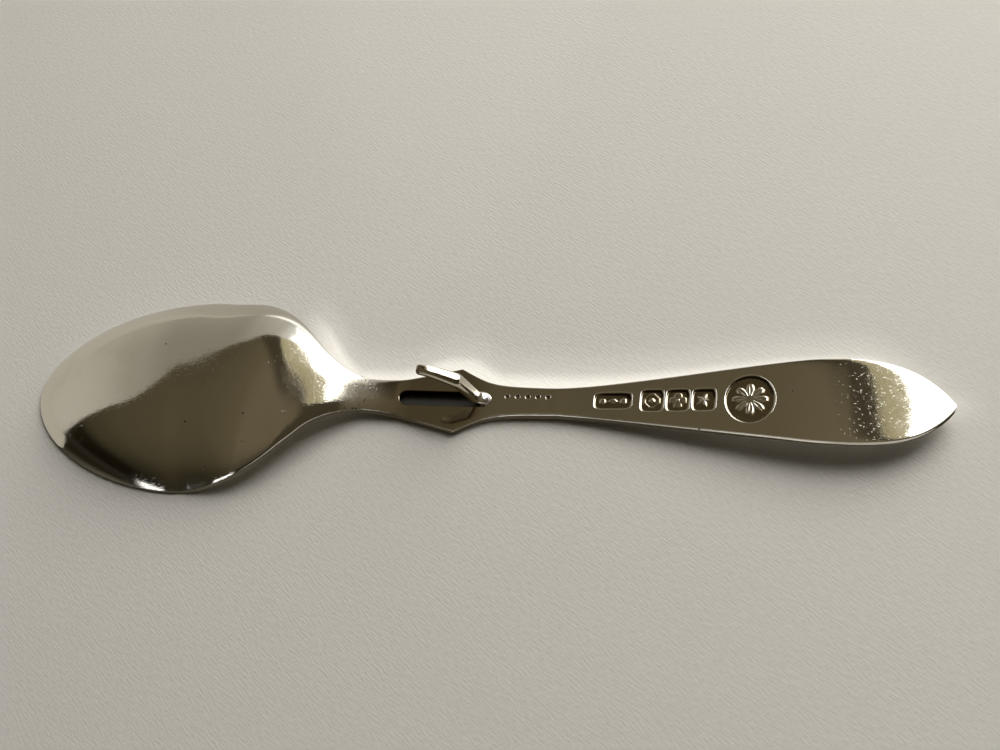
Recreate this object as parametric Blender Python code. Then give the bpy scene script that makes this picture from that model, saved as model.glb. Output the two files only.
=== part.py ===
# Honey spoon with a jar hook, in metres, +Z up.
# It lies face down, as it does on a table: the bowl's rim and the flat of the shank touch z = 0.
# X runs along the spoon from the bowl's tip to the handle's tip, and the spoon is symmetric in Y.
# The origin is under the middle of its length.
#
# Pieces: the bowl, the handle with its slotted shank, the bent strap hook that hangs the spoon on
# a jar's rim, and the fillet of solder behind the hook's root.

import math

import bmesh
import bpy
from mathutils import Matrix, Vector


# Gap between pieces that meet, and how far a cutter runs past what it cuts
SEAT_GAP = 0.0003
OVERRUN = 0.002

# Bowl
BOWL_LENGTH = 0.0610
BOWL_TIP_TO_WIDEST = 0.0300
BOWL_WIDTH = 0.0380
BOWL_HEIGHT = 0.0105
HEEL_LIFT = 0.0040
WALL = 0.0010
RIM_FACE = 0.0011
RIM_SIDE = 0.0006
RIM_FILLET = 0.00025
HEEL_SOLID = 0.0060

# Neck, where bowl and handle are joined
NECK_WIDTH = 0.0062
NECK_THICKNESS = 0.0022
NECK_SIDE = 0.0008
NECK_LIFT = 0.0011
SCARF_SLOPE_SHARE = 0.6

# Handle: from the neck joint to the shoulder's corner, and from there to the tip
SHANK_LENGTH = 0.0160
STEM_LENGTH = 0.0780
SHOULDER_WIDTH = 0.0120
STEM_WIDTH = 0.0051
HANDLE_WIDTH = 0.0151
SHANK_THICKNESS = 0.0015
STEM_THICKNESS = 0.0018
TIP_THICKNESS = 0.0010
HANDLE_CROWN = 0.00035
HANDLE_RISE = 0.0039
TIP_DROP = 0.0013
HANDLE_FILLET = 0.00025

# Slot that is cut through the shank
SLOT_START = 0.0060
SLOT_LENGTH = 0.0147
SLOT_WIDTH = 0.0027

# Strap hook: a foot in the slot, a leg that leans to the bowl, and a finger over the slot
HOOK_THICKNESS = 0.0014
HOOK_LEG = 0.0066
HOOK_FINGER = 0.0063
HOOK_WIDTH = 0.0024
HOOK_END_WIDTH = 0.0016
HOOK_BEND = 0.0016
HOOK_FILLET = 0.00028
HOOK_LEG_ANGLE = math.radians(67.5)
HOOK_FINGER_ANGLE = math.radians(28.0)

# Fillet of solder behind the hook
SOLDER_LEG = 0.0014
SOLDER_WIDTH = 0.0022

# Sunk panels on the back of the handle, measured from the neck joint to each one's middle
PANEL_DEPTH = 0.00025
MEDAL_PLACE = 0.0635
MEDAL_LENGTH = 0.0080
MEDAL_WIDTH = 0.0087
TRIO_PLACE = 0.0523
TRIO_PITCH = 0.0041
TRIO_WIDTH = 0.0041
LABEL_PLACE = 0.0419
LABEL_LENGTH = 0.0062
LABEL_WIDTH = 0.0031

# Counts
TIP_STEPS = 18
HEEL_STEPS = 22
DOME_STEPS = 17
HOLLOW_STEPS = 14
SHANK_STEPS = 16
FALL_STEPS = 13
STEM_STEPS = 44
CROWN_STEPS = 6
FILLET_STEPS = 2
BEND_STEPS = 5
ROUND_STEPS = 12
SOLDER_STEPS = 8

# Exponents of the bowl's outline and of its long and cross sections
TIP_OUTLINE_POWER = 1.8
TIP_OUTLINE_ROOT = 1.88
TIP_PROFILE_POWER = 2.2
DOME_FULLNESS = 1.0
DOME_SWELL = 0.37
NECK_FULLNESS = 0.5
FLAT_FULLNESS = 0.15
TIP_START_SHARE = 0.0017
HOLLOW_CLOSING_POWER = 14
HOLLOW_END_SHARE = 0.08
FALL_POWER = 1.3
TIP_DROP_POWER = 1.5
TIP_THINNING_POWER = 0.7
ROUND_POWER = 1.0
SQUARE_POWER = 0.4

# Outlines as pairs of shares: how far along the stretch, and how far from its first to its last size
FLARE_SHARES = [
    (0.00, 1.000), (0.13, 0.984), (0.26, 0.938), (0.39, 0.850), (0.52, 0.695),
    (0.65, 0.460), (0.77, 0.220), (0.90, 0.060), (1.00, 0.000),
]
CROWN_SHARES = [
    (0.00, 1.000), (0.13, 0.997), (0.26, 0.988), (0.39, 0.945), (0.52, 0.815),
    (0.65, 0.601), (0.74, 0.443), (0.84, 0.258), (0.935, 0.078), (1.00, 0.000),
]
HEEL_LIFT_SHARES = [
    (0.00, 0.000), (0.07, 0.000), (0.16, 0.090), (0.26, 0.310), (0.39, 0.560),
    (0.52, 0.780), (0.63, 0.940), (0.71, 0.960), (0.79, 0.780), (0.90, 0.340), (1.00, 0.000),
]
SHANK_WIDTH_SHARES = [
    (0.00, 0.000), (0.10, 0.000), (0.31, 0.080), (0.56, 0.370), (0.81, 0.725), (1.00, 1.000),
]
SHOULDER_FALL_SHARES = [
    (0.00, 1.000), (0.06, 0.840), (0.15, 0.595), (0.30, 0.270), (0.42, 0.135), (0.54, 0.067),
    (0.77, 0.015), (1.00, 0.000),
]
STEM_SWELL_SHARES = [
    (0.00, 0.000), (0.08, 0.050), (0.25, 0.220), (0.42, 0.420), (0.58, 0.615), (0.75, 0.815),
    (0.90, 0.970), (1.00, 1.000),
]
TIP_ARCH_SHARES = [
    (0.00, 1.000), (0.17, 0.980), (0.30, 0.948), (0.42, 0.900), (0.55, 0.815), (0.68, 0.685),
    (0.80, 0.515), (0.90, 0.325), (0.965, 0.170), (1.00, 0.060),
]
HANDLE_LOW_SHARES = [
    (0.330, 0.000), (0.395, 0.085), (0.436, 0.180), (0.521, 0.370), (0.606, 0.585),
    (0.691, 0.805), (0.777, 0.965), (0.835, 1.000),
]
STEM_TO_WAIST_SHARE = 0.215
WAIST_TO_SWELL_SHARE = 0.585
NECK_FADE_SHARE = 0.062
HEEL_SHARE = 0.65
HOOK_END_SLIM_SHARE = 0.55
SOLDER_END_SHARE = 0.45
SOLDER_HOLLOW_SHARE = 0.8


def follow(table, share):
    """Reads a table of shares at a place along it, with a smooth curve that never overshoots."""
    if share <= table[0][0]:
        return table[0][1]
    if share >= table[-1][0]:
        return table[-1][1]
    steps = [b[0] - a[0] for a, b in zip(table, table[1:])]
    slopes = [(b[1] - a[1]) / step for a, b, step in zip(table, table[1:], steps)]
    tangents = [slopes[0]]
    for before, after in zip(slopes, slopes[1:]):
        turns = before * after <= 0
        tangents.append(0.0 if turns else 2 * before * after / (before + after))
    tangents.append(slopes[-1])
    index = next(i for i in range(len(steps)) if share <= table[i + 1][0])
    step = steps[index]
    t = (share - table[index][0]) / step
    start, end = table[index][1], table[index + 1][1]
    return (
        start * (1 + 2 * t) * (1 - t) ** 2
        + tangents[index] * step * t * (1 - t) ** 2
        + end * t ** 2 * (3 - 2 * t)
        + tangents[index + 1] * step * t ** 2 * (t - 1)
    )


def ease(share):
    """Goes from 0 to 1 with level ends."""
    share = min(max(share, 0.0), 1.0)
    return share ** 2 * (3 - 2 * share)


def mix(start, end, share):
    """Goes from start to end."""
    return start + (end - start) * share


def make_material(name, colour, roughness):
    """A bare metal with its own colour and polish."""
    material = bpy.data.materials.new(name)
    material.use_nodes = True
    shader = material.node_tree.nodes["Principled BSDF"]
    shader.inputs["Base Color"].default_value = (*colour, 1.0)
    shader.inputs["Roughness"].default_value = roughness
    shader.inputs["Metallic"].default_value = 1.0
    return material


def make_object(name, mesh_data, material, smooth_angle=math.radians(35.0)):
    """Turns a bmesh into a named object with outward faces and soft shading."""
    bmesh.ops.recalc_face_normals(mesh_data, faces=mesh_data.faces)
    mesh = bpy.data.meshes.new(name)
    mesh_data.to_mesh(mesh)
    mesh_data.free()
    mesh.shade_smooth()
    mesh.set_sharp_from_angle(angle=smooth_angle)
    mesh.materials.append(material)
    piece = bpy.data.objects.new(name, mesh)
    bpy.context.scene.collection.objects.link(piece)
    return piece


def loft(rings):
    """Skins rings of equal count into a closed body with a face on each end."""
    skin = bmesh.new()
    loops = [[skin.verts.new(point) for point in ring] for ring in rings]
    for ring, following in zip(loops, loops[1:]):
        for i, corner in enumerate(ring):
            j = (i + 1) % len(ring)
            skin.faces.new((corner, ring[j], following[j], following[i]))
    skin.faces.new(reversed(loops[0]))
    skin.faces.new(loops[-1])
    return skin


def prism(outline, low, high):
    """Extrudes a flat outline of (x, y) points from low to high."""
    body = bmesh.new()
    base = body.faces.new([body.verts.new((x, y, low)) for x, y in outline])
    sides = bmesh.ops.extrude_face_region(body, geom=[base])
    raised = [item for item in sides["geom"] if isinstance(item, bmesh.types.BMVert)]
    bmesh.ops.translate(body, verts=raised, vec=(0.0, 0.0, high - low))
    return body


def cut(piece, cutter):
    """Takes the cutter's shape out of a piece and hides the cutter."""
    cutter.hide_render = True
    cutter.display_type = "WIRE"
    cutter.parent = piece
    boolean = piece.modifiers.new(cutter.name, "BOOLEAN")
    boolean.operation = "DIFFERENCE"
    boolean.solver = "EXACT"
    boolean.object = cutter


def arc(centre, radius, start, end, steps):
    """Points on an arc in a plane, with both ends."""
    return [
        (centre[0] + radius * math.cos(mix(start, end, i / steps)),
         centre[1] + radius * math.sin(mix(start, end, i / steps)))
        for i in range(steps + 1)
    ]


def dome(turn, fullness, swell):
    """Height share of a crowned back: the turn is 0 at its edge and a quarter circle in its middle."""
    return math.sin(turn) ** (2 * fullness) * (1 + swell * math.cos(turn) ** 2)


def plate_ring(x, half, low, side, crown, fullness, fillet, steps, slope=0.0, swell=0.0):
    """One cross section: a level front, upright sides and a crowned back.

    The section is closed and symmetric in Y. A slope leans it along X by its height, for the joint.
    """
    fillet = min(fillet, half / 2, side / 2)
    corner = arc((half - fillet, low + fillet), fillet, -math.pi / 2, 0.0, FILLET_STEPS)
    back = []
    crowding = 1.0 + max(1.0 - 2 * fullness, 0.0) ** 2
    for i in range(steps + 1):
        turn = math.pi / 2 * (i / steps) ** crowding
        back.append((half * math.cos(turn), low + side + crown * dome(turn, fullness, swell)))
    right = corner + back
    outline = right + [(-y, z) for y, z in reversed(right[:-1])]
    middle = low + (side + crown) / 2
    return [Vector((x + slope * (z - middle), y, z)) for y, z in outline]


def tip_shares(share):
    """The bowl's width and height, as shares, between its blunt tip and its widest place."""
    left = 1 - max(share, TIP_START_SHARE)
    return (1 - left ** TIP_OUTLINE_POWER) ** (1 / TIP_OUTLINE_ROOT), 1 - left ** TIP_PROFILE_POWER


def bowl_sizes(x):
    """Half width, rim height and back height of the bowl at a distance from its tip."""
    if x <= BOWL_TIP_TO_WIDEST:
        wide, high = tip_shares(x / BOWL_TIP_TO_WIDEST)
        return BOWL_WIDTH / 2 * wide, 0.0, mix(RIM_SIDE, BOWL_HEIGHT, high)
    share = (x - BOWL_TIP_TO_WIDEST) / (BOWL_LENGTH - BOWL_TIP_TO_WIDEST)
    half = mix(NECK_WIDTH / 2, BOWL_WIDTH / 2, follow(FLARE_SHARES, share))
    heel_rise = HEEL_LIFT * follow(HEEL_LIFT_SHARES, share)
    lift = heel_rise + NECK_LIFT * ease((share - HEEL_SHARE) / (1 - HEEL_SHARE))
    neck_top = NECK_LIFT + NECK_THICKNESS
    return half, lift, mix(neck_top, BOWL_HEIGHT, follow(CROWN_SHARES, share))


def bowl_stations():
    """Places along the bowl, close together where its tip is blunt."""
    near = [
        BOWL_TIP_TO_WIDEST * (1 - math.cos(math.pi / 2 * i / TIP_STEPS)) for i in range(TIP_STEPS)
    ]
    far = [mix(BOWL_TIP_TO_WIDEST, BOWL_LENGTH, i / HEEL_STEPS) for i in range(HEEL_STEPS)]
    return near + far + [BOWL_LENGTH]


def back_ring(x):
    """The bowl's section from one rim edge over the back to the other."""
    half, lift, top = bowl_sizes(x)
    share = ease((x - BOWL_TIP_TO_WIDEST) / (BOWL_LENGTH - BOWL_TIP_TO_WIDEST))
    side = min(mix(RIM_SIDE, NECK_SIDE, share), top - lift)
    slope = SCARF_SLOPE_SHARE if x == BOWL_LENGTH else 0.0
    fullness = mix(DOME_FULLNESS, NECK_FULLNESS, share)
    swell = mix(DOME_SWELL, 0.0, share)
    crown = top - lift - side
    return plate_ring(x, half, lift, side, crown, fullness, RIM_FILLET, DOME_STEPS, slope, swell)


def hollow_ring(x):
    """The hollow's section under the one at x, from the left edge to the right one."""
    place = mix(RIM_FACE, BOWL_LENGTH - HEEL_SOLID, x / BOWL_LENGTH)
    if place <= BOWL_TIP_TO_WIDEST:
        wide, high = tip_shares((place - RIM_FACE) / (BOWL_TIP_TO_WIDEST - RIM_FACE))
        half = (BOWL_WIDTH / 2 - RIM_FACE) * wide
        lift = 0.0
        depth = (BOWL_HEIGHT - WALL) * high
    else:
        closing = max((1 - (x / BOWL_LENGTH) ** HOLLOW_CLOSING_POWER) ** (1 / 2), HOLLOW_END_SHARE)
        half, lift, top = bowl_sizes(place)
        half = (half - RIM_FACE) * closing
        depth = (top - WALL - lift) * closing
    ring = []
    for i in range(2 * HOLLOW_STEPS + 1):
        turn = math.pi * i / (2 * HOLLOW_STEPS)
        height = lift + depth * dome(turn, DOME_FULLNESS, DOME_SWELL)
        ring.append(Vector((place, -half * math.cos(turn), height)))
    return ring


def build_bowl(silver):
    """The dished bowl: a back and a hollow, lofted side by side and joined by the rim's flat face."""
    skin = bmesh.new()
    backs = []
    hollows = []
    for x in bowl_stations():
        backs.append([skin.verts.new(point) for point in back_ring(x)])
        hollows.append([skin.verts.new(point) for point in hollow_ring(x)])
    for k in range(len(backs) - 1):
        loop = backs[k] + hollows[k]
        following = backs[k + 1] + hollows[k + 1]
        for i, corner in enumerate(loop):
            j = (i + 1) % len(loop)
            skin.faces.new((corner, loop[j], following[j], following[i]))
    for back, hollow in ((backs[0], hollows[0]), (backs[-1], hollows[-1])):
        skin.faces.new(back)
        skin.faces.new(hollow)
        skin.faces.new((back[0], back[-1], hollow[0], hollow[-1]))
    return make_object("bowl", skin, silver)


def handle_sizes(x):
    """Half width, front height, thickness, side and crown of the handle from the neck joint."""
    length = SHANK_LENGTH + STEM_LENGTH
    share = x / length
    shoulder = SHOULDER_WIDTH / 2
    waist = STEM_WIDTH / 2
    widest = HANDLE_WIDTH / 2
    waist_place = SHANK_LENGTH + STEM_LENGTH * STEM_TO_WAIST_SHARE
    swell_place = waist_place + STEM_LENGTH * WAIST_TO_SWELL_SHARE
    if x <= SHANK_LENGTH:
        half = mix(NECK_WIDTH / 2, shoulder, follow(SHANK_WIDTH_SHARES, x / SHANK_LENGTH))
    elif x <= waist_place:
        fall = (x - SHANK_LENGTH) / (waist_place - SHANK_LENGTH)
        half = mix(waist, shoulder, follow(SHOULDER_FALL_SHARES, fall))
    elif x <= swell_place:
        swell = (x - waist_place) / (swell_place - waist_place)
        half = mix(waist, widest, follow(STEM_SWELL_SHARES, swell))
    else:
        half = widest * follow(TIP_ARCH_SHARES, (x - swell_place) / (length - swell_place))

    fade = ease(share / NECK_FADE_SHARE)
    arched = HANDLE_RISE * follow(HANDLE_LOW_SHARES, share)
    droop_start = HANDLE_LOW_SHARES[-1][0]
    droop = max(share - droop_start, 0.0) / (1 - droop_start)
    low = mix(NECK_LIFT, 0.0, fade) + arched - TIP_DROP * droop ** TIP_DROP_POWER

    shank_share = SHANK_LENGTH / length
    waist_share = waist_place / length
    if share <= shank_share:
        thickness = mix(NECK_THICKNESS, SHANK_THICKNESS, fade)
    elif share <= waist_share:
        rise = ease((share - shank_share) / (waist_share - shank_share))
        thickness = mix(SHANK_THICKNESS, STEM_THICKNESS, rise)
    else:
        thin = (share - waist_share) / (1 - waist_share)
        thickness = mix(STEM_THICKNESS, TIP_THICKNESS, thin ** TIP_THINNING_POWER)
    crown = mix(NECK_THICKNESS - NECK_SIDE, HANDLE_CROWN, fade)
    return half, low, thickness - crown, crown, mix(NECK_FULLNESS, FLAT_FULLNESS, fade)


def handle_stations():
    """Places along the handle, close together at the neck and at the tip."""
    scarf = SEAT_GAP * math.hypot(1.0, SCARF_SLOPE_SHARE)
    length = SHANK_LENGTH + STEM_LENGTH
    shank = [mix(scarf, SHANK_LENGTH, i / SHANK_STEPS) for i in range(SHANK_STEPS)]
    waist = SHANK_LENGTH + STEM_LENGTH * STEM_TO_WAIST_SHARE
    fall = [mix(SHANK_LENGTH, waist, (i / FALL_STEPS) ** FALL_POWER) for i in range(FALL_STEPS)]
    stem = [mix(waist, length, math.sin(math.pi / 2 * i / STEM_STEPS)) for i in range(STEM_STEPS + 1)]
    return shank + fall + stem


def back_height(x):
    """Height of the middle of the handle's back, from the neck joint."""
    half, low, side, crown, fullness = handle_sizes(x)
    return low + side + crown


def slot_outline():
    """A slot with a round end by the bowl and a square end behind the hook's foot."""
    radius = SLOT_WIDTH / 2
    centre = (SLOT_START + radius, 0.0)
    end = SLOT_START + SLOT_LENGTH
    round_end = arc(centre, radius, math.pi / 2, 3 * math.pi / 2, ROUND_STEPS)
    return round_end + [(end, -radius), (end, radius)]


def oval_outline(length, width, power, steps):
    """A closed oval, squarer with a smaller power."""
    points = []
    for i in range(steps):
        turn = 2 * math.pi * (i + 1 / 2) / steps
        across, along = math.sin(turn), math.cos(turn)
        x = length / 2 * math.copysign(abs(along) ** power, along)
        y = width / 2 * math.copysign(abs(across) ** power, across)
        points.append((x, y))
    return points


def panel_cutter(name, handle, silver, place, outline):
    """Cuts a sunk panel into the back, square to it."""
    reach = max(point[0] for point in outline)
    rise = back_height(place + reach) - back_height(place - reach)
    tilt = math.atan2(rise, 2 * reach)
    cutter = make_object(name, prism(outline, -PANEL_DEPTH, OVERRUN), silver)
    bottom = Matrix.Rotation(-tilt, 4, "Y")
    cutter.matrix_local = Matrix.Translation((place, 0.0, back_height(place))) @ bottom
    cut(handle, cutter)


def build_handle(silver):
    """The handle: one loft from the neck to the tip, with its slot and its sunk panels."""
    rings = []
    stations = handle_stations()
    for x in stations:
        half, low, side, crown, fullness = handle_sizes(x)
        slope = SCARF_SLOPE_SHARE if x == stations[0] else 0.0
        rings.append(plate_ring(x, half, low, side, crown, fullness, HANDLE_FILLET, CROWN_STEPS, slope))
    handle = make_object("handle", loft(rings), silver)
    handle.location.x = BOWL_LENGTH

    top = NECK_LIFT + NECK_THICKNESS + OVERRUN
    slot = make_object("slot_cutter", prism(slot_outline(), -OVERRUN, top), silver)
    cut(handle, slot)

    medal = oval_outline(MEDAL_LENGTH, MEDAL_WIDTH, ROUND_POWER, 2 * ROUND_STEPS)
    panel_cutter("medal_cutter", handle, silver, MEDAL_PLACE, medal)
    trio = oval_outline(TRIO_PITCH - SEAT_GAP, TRIO_WIDTH, SQUARE_POWER, 2 * ROUND_STEPS)
    for i in range(3):
        place = TRIO_PLACE + TRIO_PITCH * (i - 1)
        panel_cutter(f"trio_cutter_{i + 1}", handle, silver, place, trio)
    label = oval_outline(LABEL_LENGTH, LABEL_WIDTH, SQUARE_POWER, 2 * ROUND_STEPS)
    panel_cutter("label_cutter", handle, silver, LABEL_PLACE, label)
    return handle


def hook_path():
    """Middle line of the strap: (x, z, angle) from its foot to its free end.

    The angle is the strap's direction above the level that runs to the bowl.
    """
    runs = [
        (SHANK_THICKNESS, math.pi / 2),
        (HOOK_LEG, HOOK_LEG_ANGLE),
        (HOOK_FINGER, HOOK_FINGER_ANGLE),
    ]
    x, z = 0.0, 0.0
    path = [(x, z, math.pi / 2)]
    for index, (run, angle) in enumerate(runs):
        following = runs[index + 1][1] if index + 1 < len(runs) else angle
        trim_before = HOOK_BEND * math.tan((runs[index - 1][1] - angle) / 2) if index else 0.0
        trim_after = HOOK_BEND * math.tan((angle - following) / 2)
        straight = run - trim_before - trim_after
        x -= straight * math.cos(angle)
        z += straight * math.sin(angle)
        path.append((x, z, angle))
        for i in range(BEND_STEPS):
            if following == angle:
                break
            before = mix(angle, following, i / BEND_STEPS)
            after = mix(angle, following, (i + 1) / BEND_STEPS)
            chord = 2 * HOOK_BEND * math.sin((before - after) / 2)
            x -= chord * math.cos((before + after) / 2)
            z += chord * math.sin((before + after) / 2)
            path.append((x, z, after))
    return path


def strap_ring(x, z, angle, half, thickness):
    """A cross section of the strap with rounded corners, square to its path."""
    radius = min(HOOK_FILLET, half / 2, thickness / 3)
    outline = []
    for corner, (side, face) in enumerate(((1, 1), (-1, 1), (-1, -1), (1, -1))):
        centre = (side * (half - radius), face * (thickness / 2 - radius))
        start = corner * math.pi / 2
        outline += arc(centre, radius, start, start + math.pi / 2, FILLET_STEPS)
    back = Vector((math.sin(angle), 0.0, math.cos(angle)))
    return [Vector((x, y, z)) + back * rise for y, rise in outline]


def build_hook(silver):
    """The hook: a strap swept along its bent path, wide at the bend and rounded at its end."""
    path = hook_path()
    foot_half = SLOT_WIDTH / 2 - SEAT_GAP
    lengths = [0.0]
    for (x0, z0, _), (x1, z1, _) in zip(path, path[1:]):
        lengths.append(lengths[-1] + math.hypot(x1 - x0, z1 - z0))
    bend_at = SHANK_THICKNESS + HOOK_LEG
    rings = []
    for (x, z, angle), run in zip(path, lengths):
        if run <= bend_at:
            leg = max(run - SHANK_THICKNESS, 0.0) / HOOK_LEG
            half = mix(foot_half, HOOK_WIDTH / 2, ease(leg))
        else:
            half = mix(HOOK_WIDTH / 2, HOOK_END_WIDTH / 2, (run - bend_at) / (lengths[-1] - bend_at))
        rings.append((x, z, angle, half, HOOK_THICKNESS))
    x, z, angle, half, thickness = rings[-1]
    for i in range(1, BEND_STEPS):
        turn = math.pi / 2 * i / BEND_STEPS
        reach = HOOK_THICKNESS / 2 * math.sin(turn)
        slim = 1 - HOOK_END_SLIM_SHARE * (1 - math.cos(turn))
        end = (x - reach * math.cos(angle), z + reach * math.sin(angle))
        rings.append((*end, angle, half * slim, thickness * slim))
    body = loft([strap_ring(*ring) for ring in rings])
    hook = make_object("hook", body, silver)
    hook.location.x = BOWL_LENGTH + SLOT_START + SLOT_LENGTH - SEAT_GAP - HOOK_THICKNESS / 2
    return hook


def build_solder(solder):
    """The fillet of solder in the corner between the shank's back and the hook's back."""
    lean = HOOK_LEG_ANGLE
    corner_x = BOWL_LENGTH + SLOT_START + SLOT_LENGTH - SEAT_GAP
    corner_z = SHANK_THICKNESS
    rings = []
    for i in range(SOLDER_STEPS + 1):
        turn = mix(-math.pi / 2, math.pi / 2, i / SOLDER_STEPS)
        across = SOLDER_WIDTH / 2 * math.sin(turn)
        size = SOLDER_LEG * mix(SOLDER_END_SHARE, 1.0, math.cos(turn))
        seat = Vector((2 * SEAT_GAP, across, SEAT_GAP))
        along = Vector((size, across, SEAT_GAP))
        up = Vector((2 * SEAT_GAP - size * math.cos(lean), across, SEAT_GAP + size * math.sin(lean)))
        hollow = seat.lerp((along + up) / 2, SOLDER_HOLLOW_SHARE)
        rings.append([seat, along, hollow, up])
    fillet = make_object("hook_solder", loft(rings), solder)
    fillet.location = (corner_x, 0.0, corner_z)
    return fillet


def main():
    """Builds the spoon in an empty scene."""
    for old in list(bpy.data.objects):
        bpy.data.objects.remove(old, do_unlink=True)
    silver = make_material("silver", (0.83, 0.81, 0.77), 0.16)
    solder = make_material("solder", (0.72, 0.70, 0.66), 0.30)
    spoon = bpy.data.objects.new("spoon", None)
    bpy.context.scene.collection.objects.link(spoon)
    spoon.location.x = -(BOWL_LENGTH + SHANK_LENGTH + STEM_LENGTH) / 2
    for piece in (build_bowl(silver), build_handle(silver), build_hook(silver), build_solder(solder)):
        piece.parent = spoon


main()
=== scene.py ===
"""Looks of a silver honey spoon with a jar hook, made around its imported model.

The spoon lies face down on a plain pale floor. Its pieces are rebuilt here with fine, smooth skins,
because polished silver shows every facet, and each is dressed in worn silver or in solder.
"""

import logging
import math
from dataclasses import dataclass, field
from enum import Enum
from typing import Any, Callable, Iterable, Mapping, Optional, Sequence, Union

import bpy
from mathutils import Matrix, Vector


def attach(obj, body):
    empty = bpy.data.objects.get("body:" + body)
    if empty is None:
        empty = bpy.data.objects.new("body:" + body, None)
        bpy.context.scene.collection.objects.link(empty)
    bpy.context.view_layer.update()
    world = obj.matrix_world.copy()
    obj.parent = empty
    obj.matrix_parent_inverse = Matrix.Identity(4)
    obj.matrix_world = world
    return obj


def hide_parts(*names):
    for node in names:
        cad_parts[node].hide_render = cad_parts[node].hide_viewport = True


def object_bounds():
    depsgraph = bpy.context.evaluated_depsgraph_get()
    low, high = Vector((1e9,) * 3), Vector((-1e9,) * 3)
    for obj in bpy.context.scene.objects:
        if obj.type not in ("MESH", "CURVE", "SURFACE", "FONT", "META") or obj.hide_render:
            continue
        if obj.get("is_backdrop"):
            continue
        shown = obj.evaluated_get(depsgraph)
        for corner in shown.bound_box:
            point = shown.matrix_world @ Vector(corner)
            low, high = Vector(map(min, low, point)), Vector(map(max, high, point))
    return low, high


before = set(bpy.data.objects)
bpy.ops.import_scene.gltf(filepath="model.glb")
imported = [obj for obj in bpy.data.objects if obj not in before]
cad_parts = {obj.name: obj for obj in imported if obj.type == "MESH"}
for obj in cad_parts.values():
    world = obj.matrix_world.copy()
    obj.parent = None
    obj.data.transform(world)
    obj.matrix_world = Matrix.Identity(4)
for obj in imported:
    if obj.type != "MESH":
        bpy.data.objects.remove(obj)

LOG = logging.getLogger("honey_spoon")
MILLIMETRE = 0.001
ROOT_BODY = "root"
# Edges that bend by more degrees than this stay crisp: on plain metal, and on ornament and solder.
CRISP = 38.0
SOFT = 60.0
BLACK = (0.0, 0.0, 0.0)

Colour = tuple[float, float, float]
Triple = tuple[float, float, float]
Span = tuple[float, float]
Pairs = tuple[Span, ...]
Tones = tuple[tuple[float, Colour], ...]
Outline = list[tuple[float, float]]


class Wire:
    """A number socket that takes part in shader maths: each operator adds a Math node."""

    def __init__(self, bench: "Bench", socket: bpy.types.NodeSocket) -> None:
        """Keeps the socket and the bench it belongs to.

        Args:
            bench: Where new nodes go.
            socket: The output that this wire reads.
        """
        self.bench = bench
        self.socket = socket

    def __add__(self, other: "Number") -> "Wire":
        """Self plus other."""
        return self.bench.maths("ADD", self, other)

    def __radd__(self, other: "Number") -> "Wire":
        """Other plus self."""
        return self.bench.maths("ADD", other, self)

    def __sub__(self, other: "Number") -> "Wire":
        """Self minus other."""
        return self.bench.maths("SUBTRACT", self, other)

    def __rsub__(self, other: "Number") -> "Wire":
        """Other minus self."""
        return self.bench.maths("SUBTRACT", other, self)

    def __mul__(self, other: "Number") -> "Wire":
        """Self times other."""
        return self.bench.maths("MULTIPLY", self, other)

    def __rmul__(self, other: "Number") -> "Wire":
        """Other times self."""
        return self.bench.maths("MULTIPLY", other, self)

    def __abs__(self) -> "Wire":
        """Self without its sign."""
        return self.bench.maths("ABSOLUTE", self)

    def step(self, low: float, high: float) -> "Wire":
        """Goes softly from 0 at low to 1 at high; with low above high it falls.

        Args:
            low: Where the result is 0.
            high: Where the result is 1.

        Returns:
            The eased value.
        """
        ends = (low, high, 0.0, 1.0) if low < high else (high, low, 1.0, 0.0)
        names = ("From Min", "From Max", "To Min", "To Max")
        settings = {"interpolation_type": "SMOOTHSTEP"}
        sockets = {"Value": self, **dict(zip(names, ends))}
        return self.bench.wire(self.bench.add("ShaderNodeMapRange", settings, sockets))


Number = Union[Wire, float]


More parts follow.
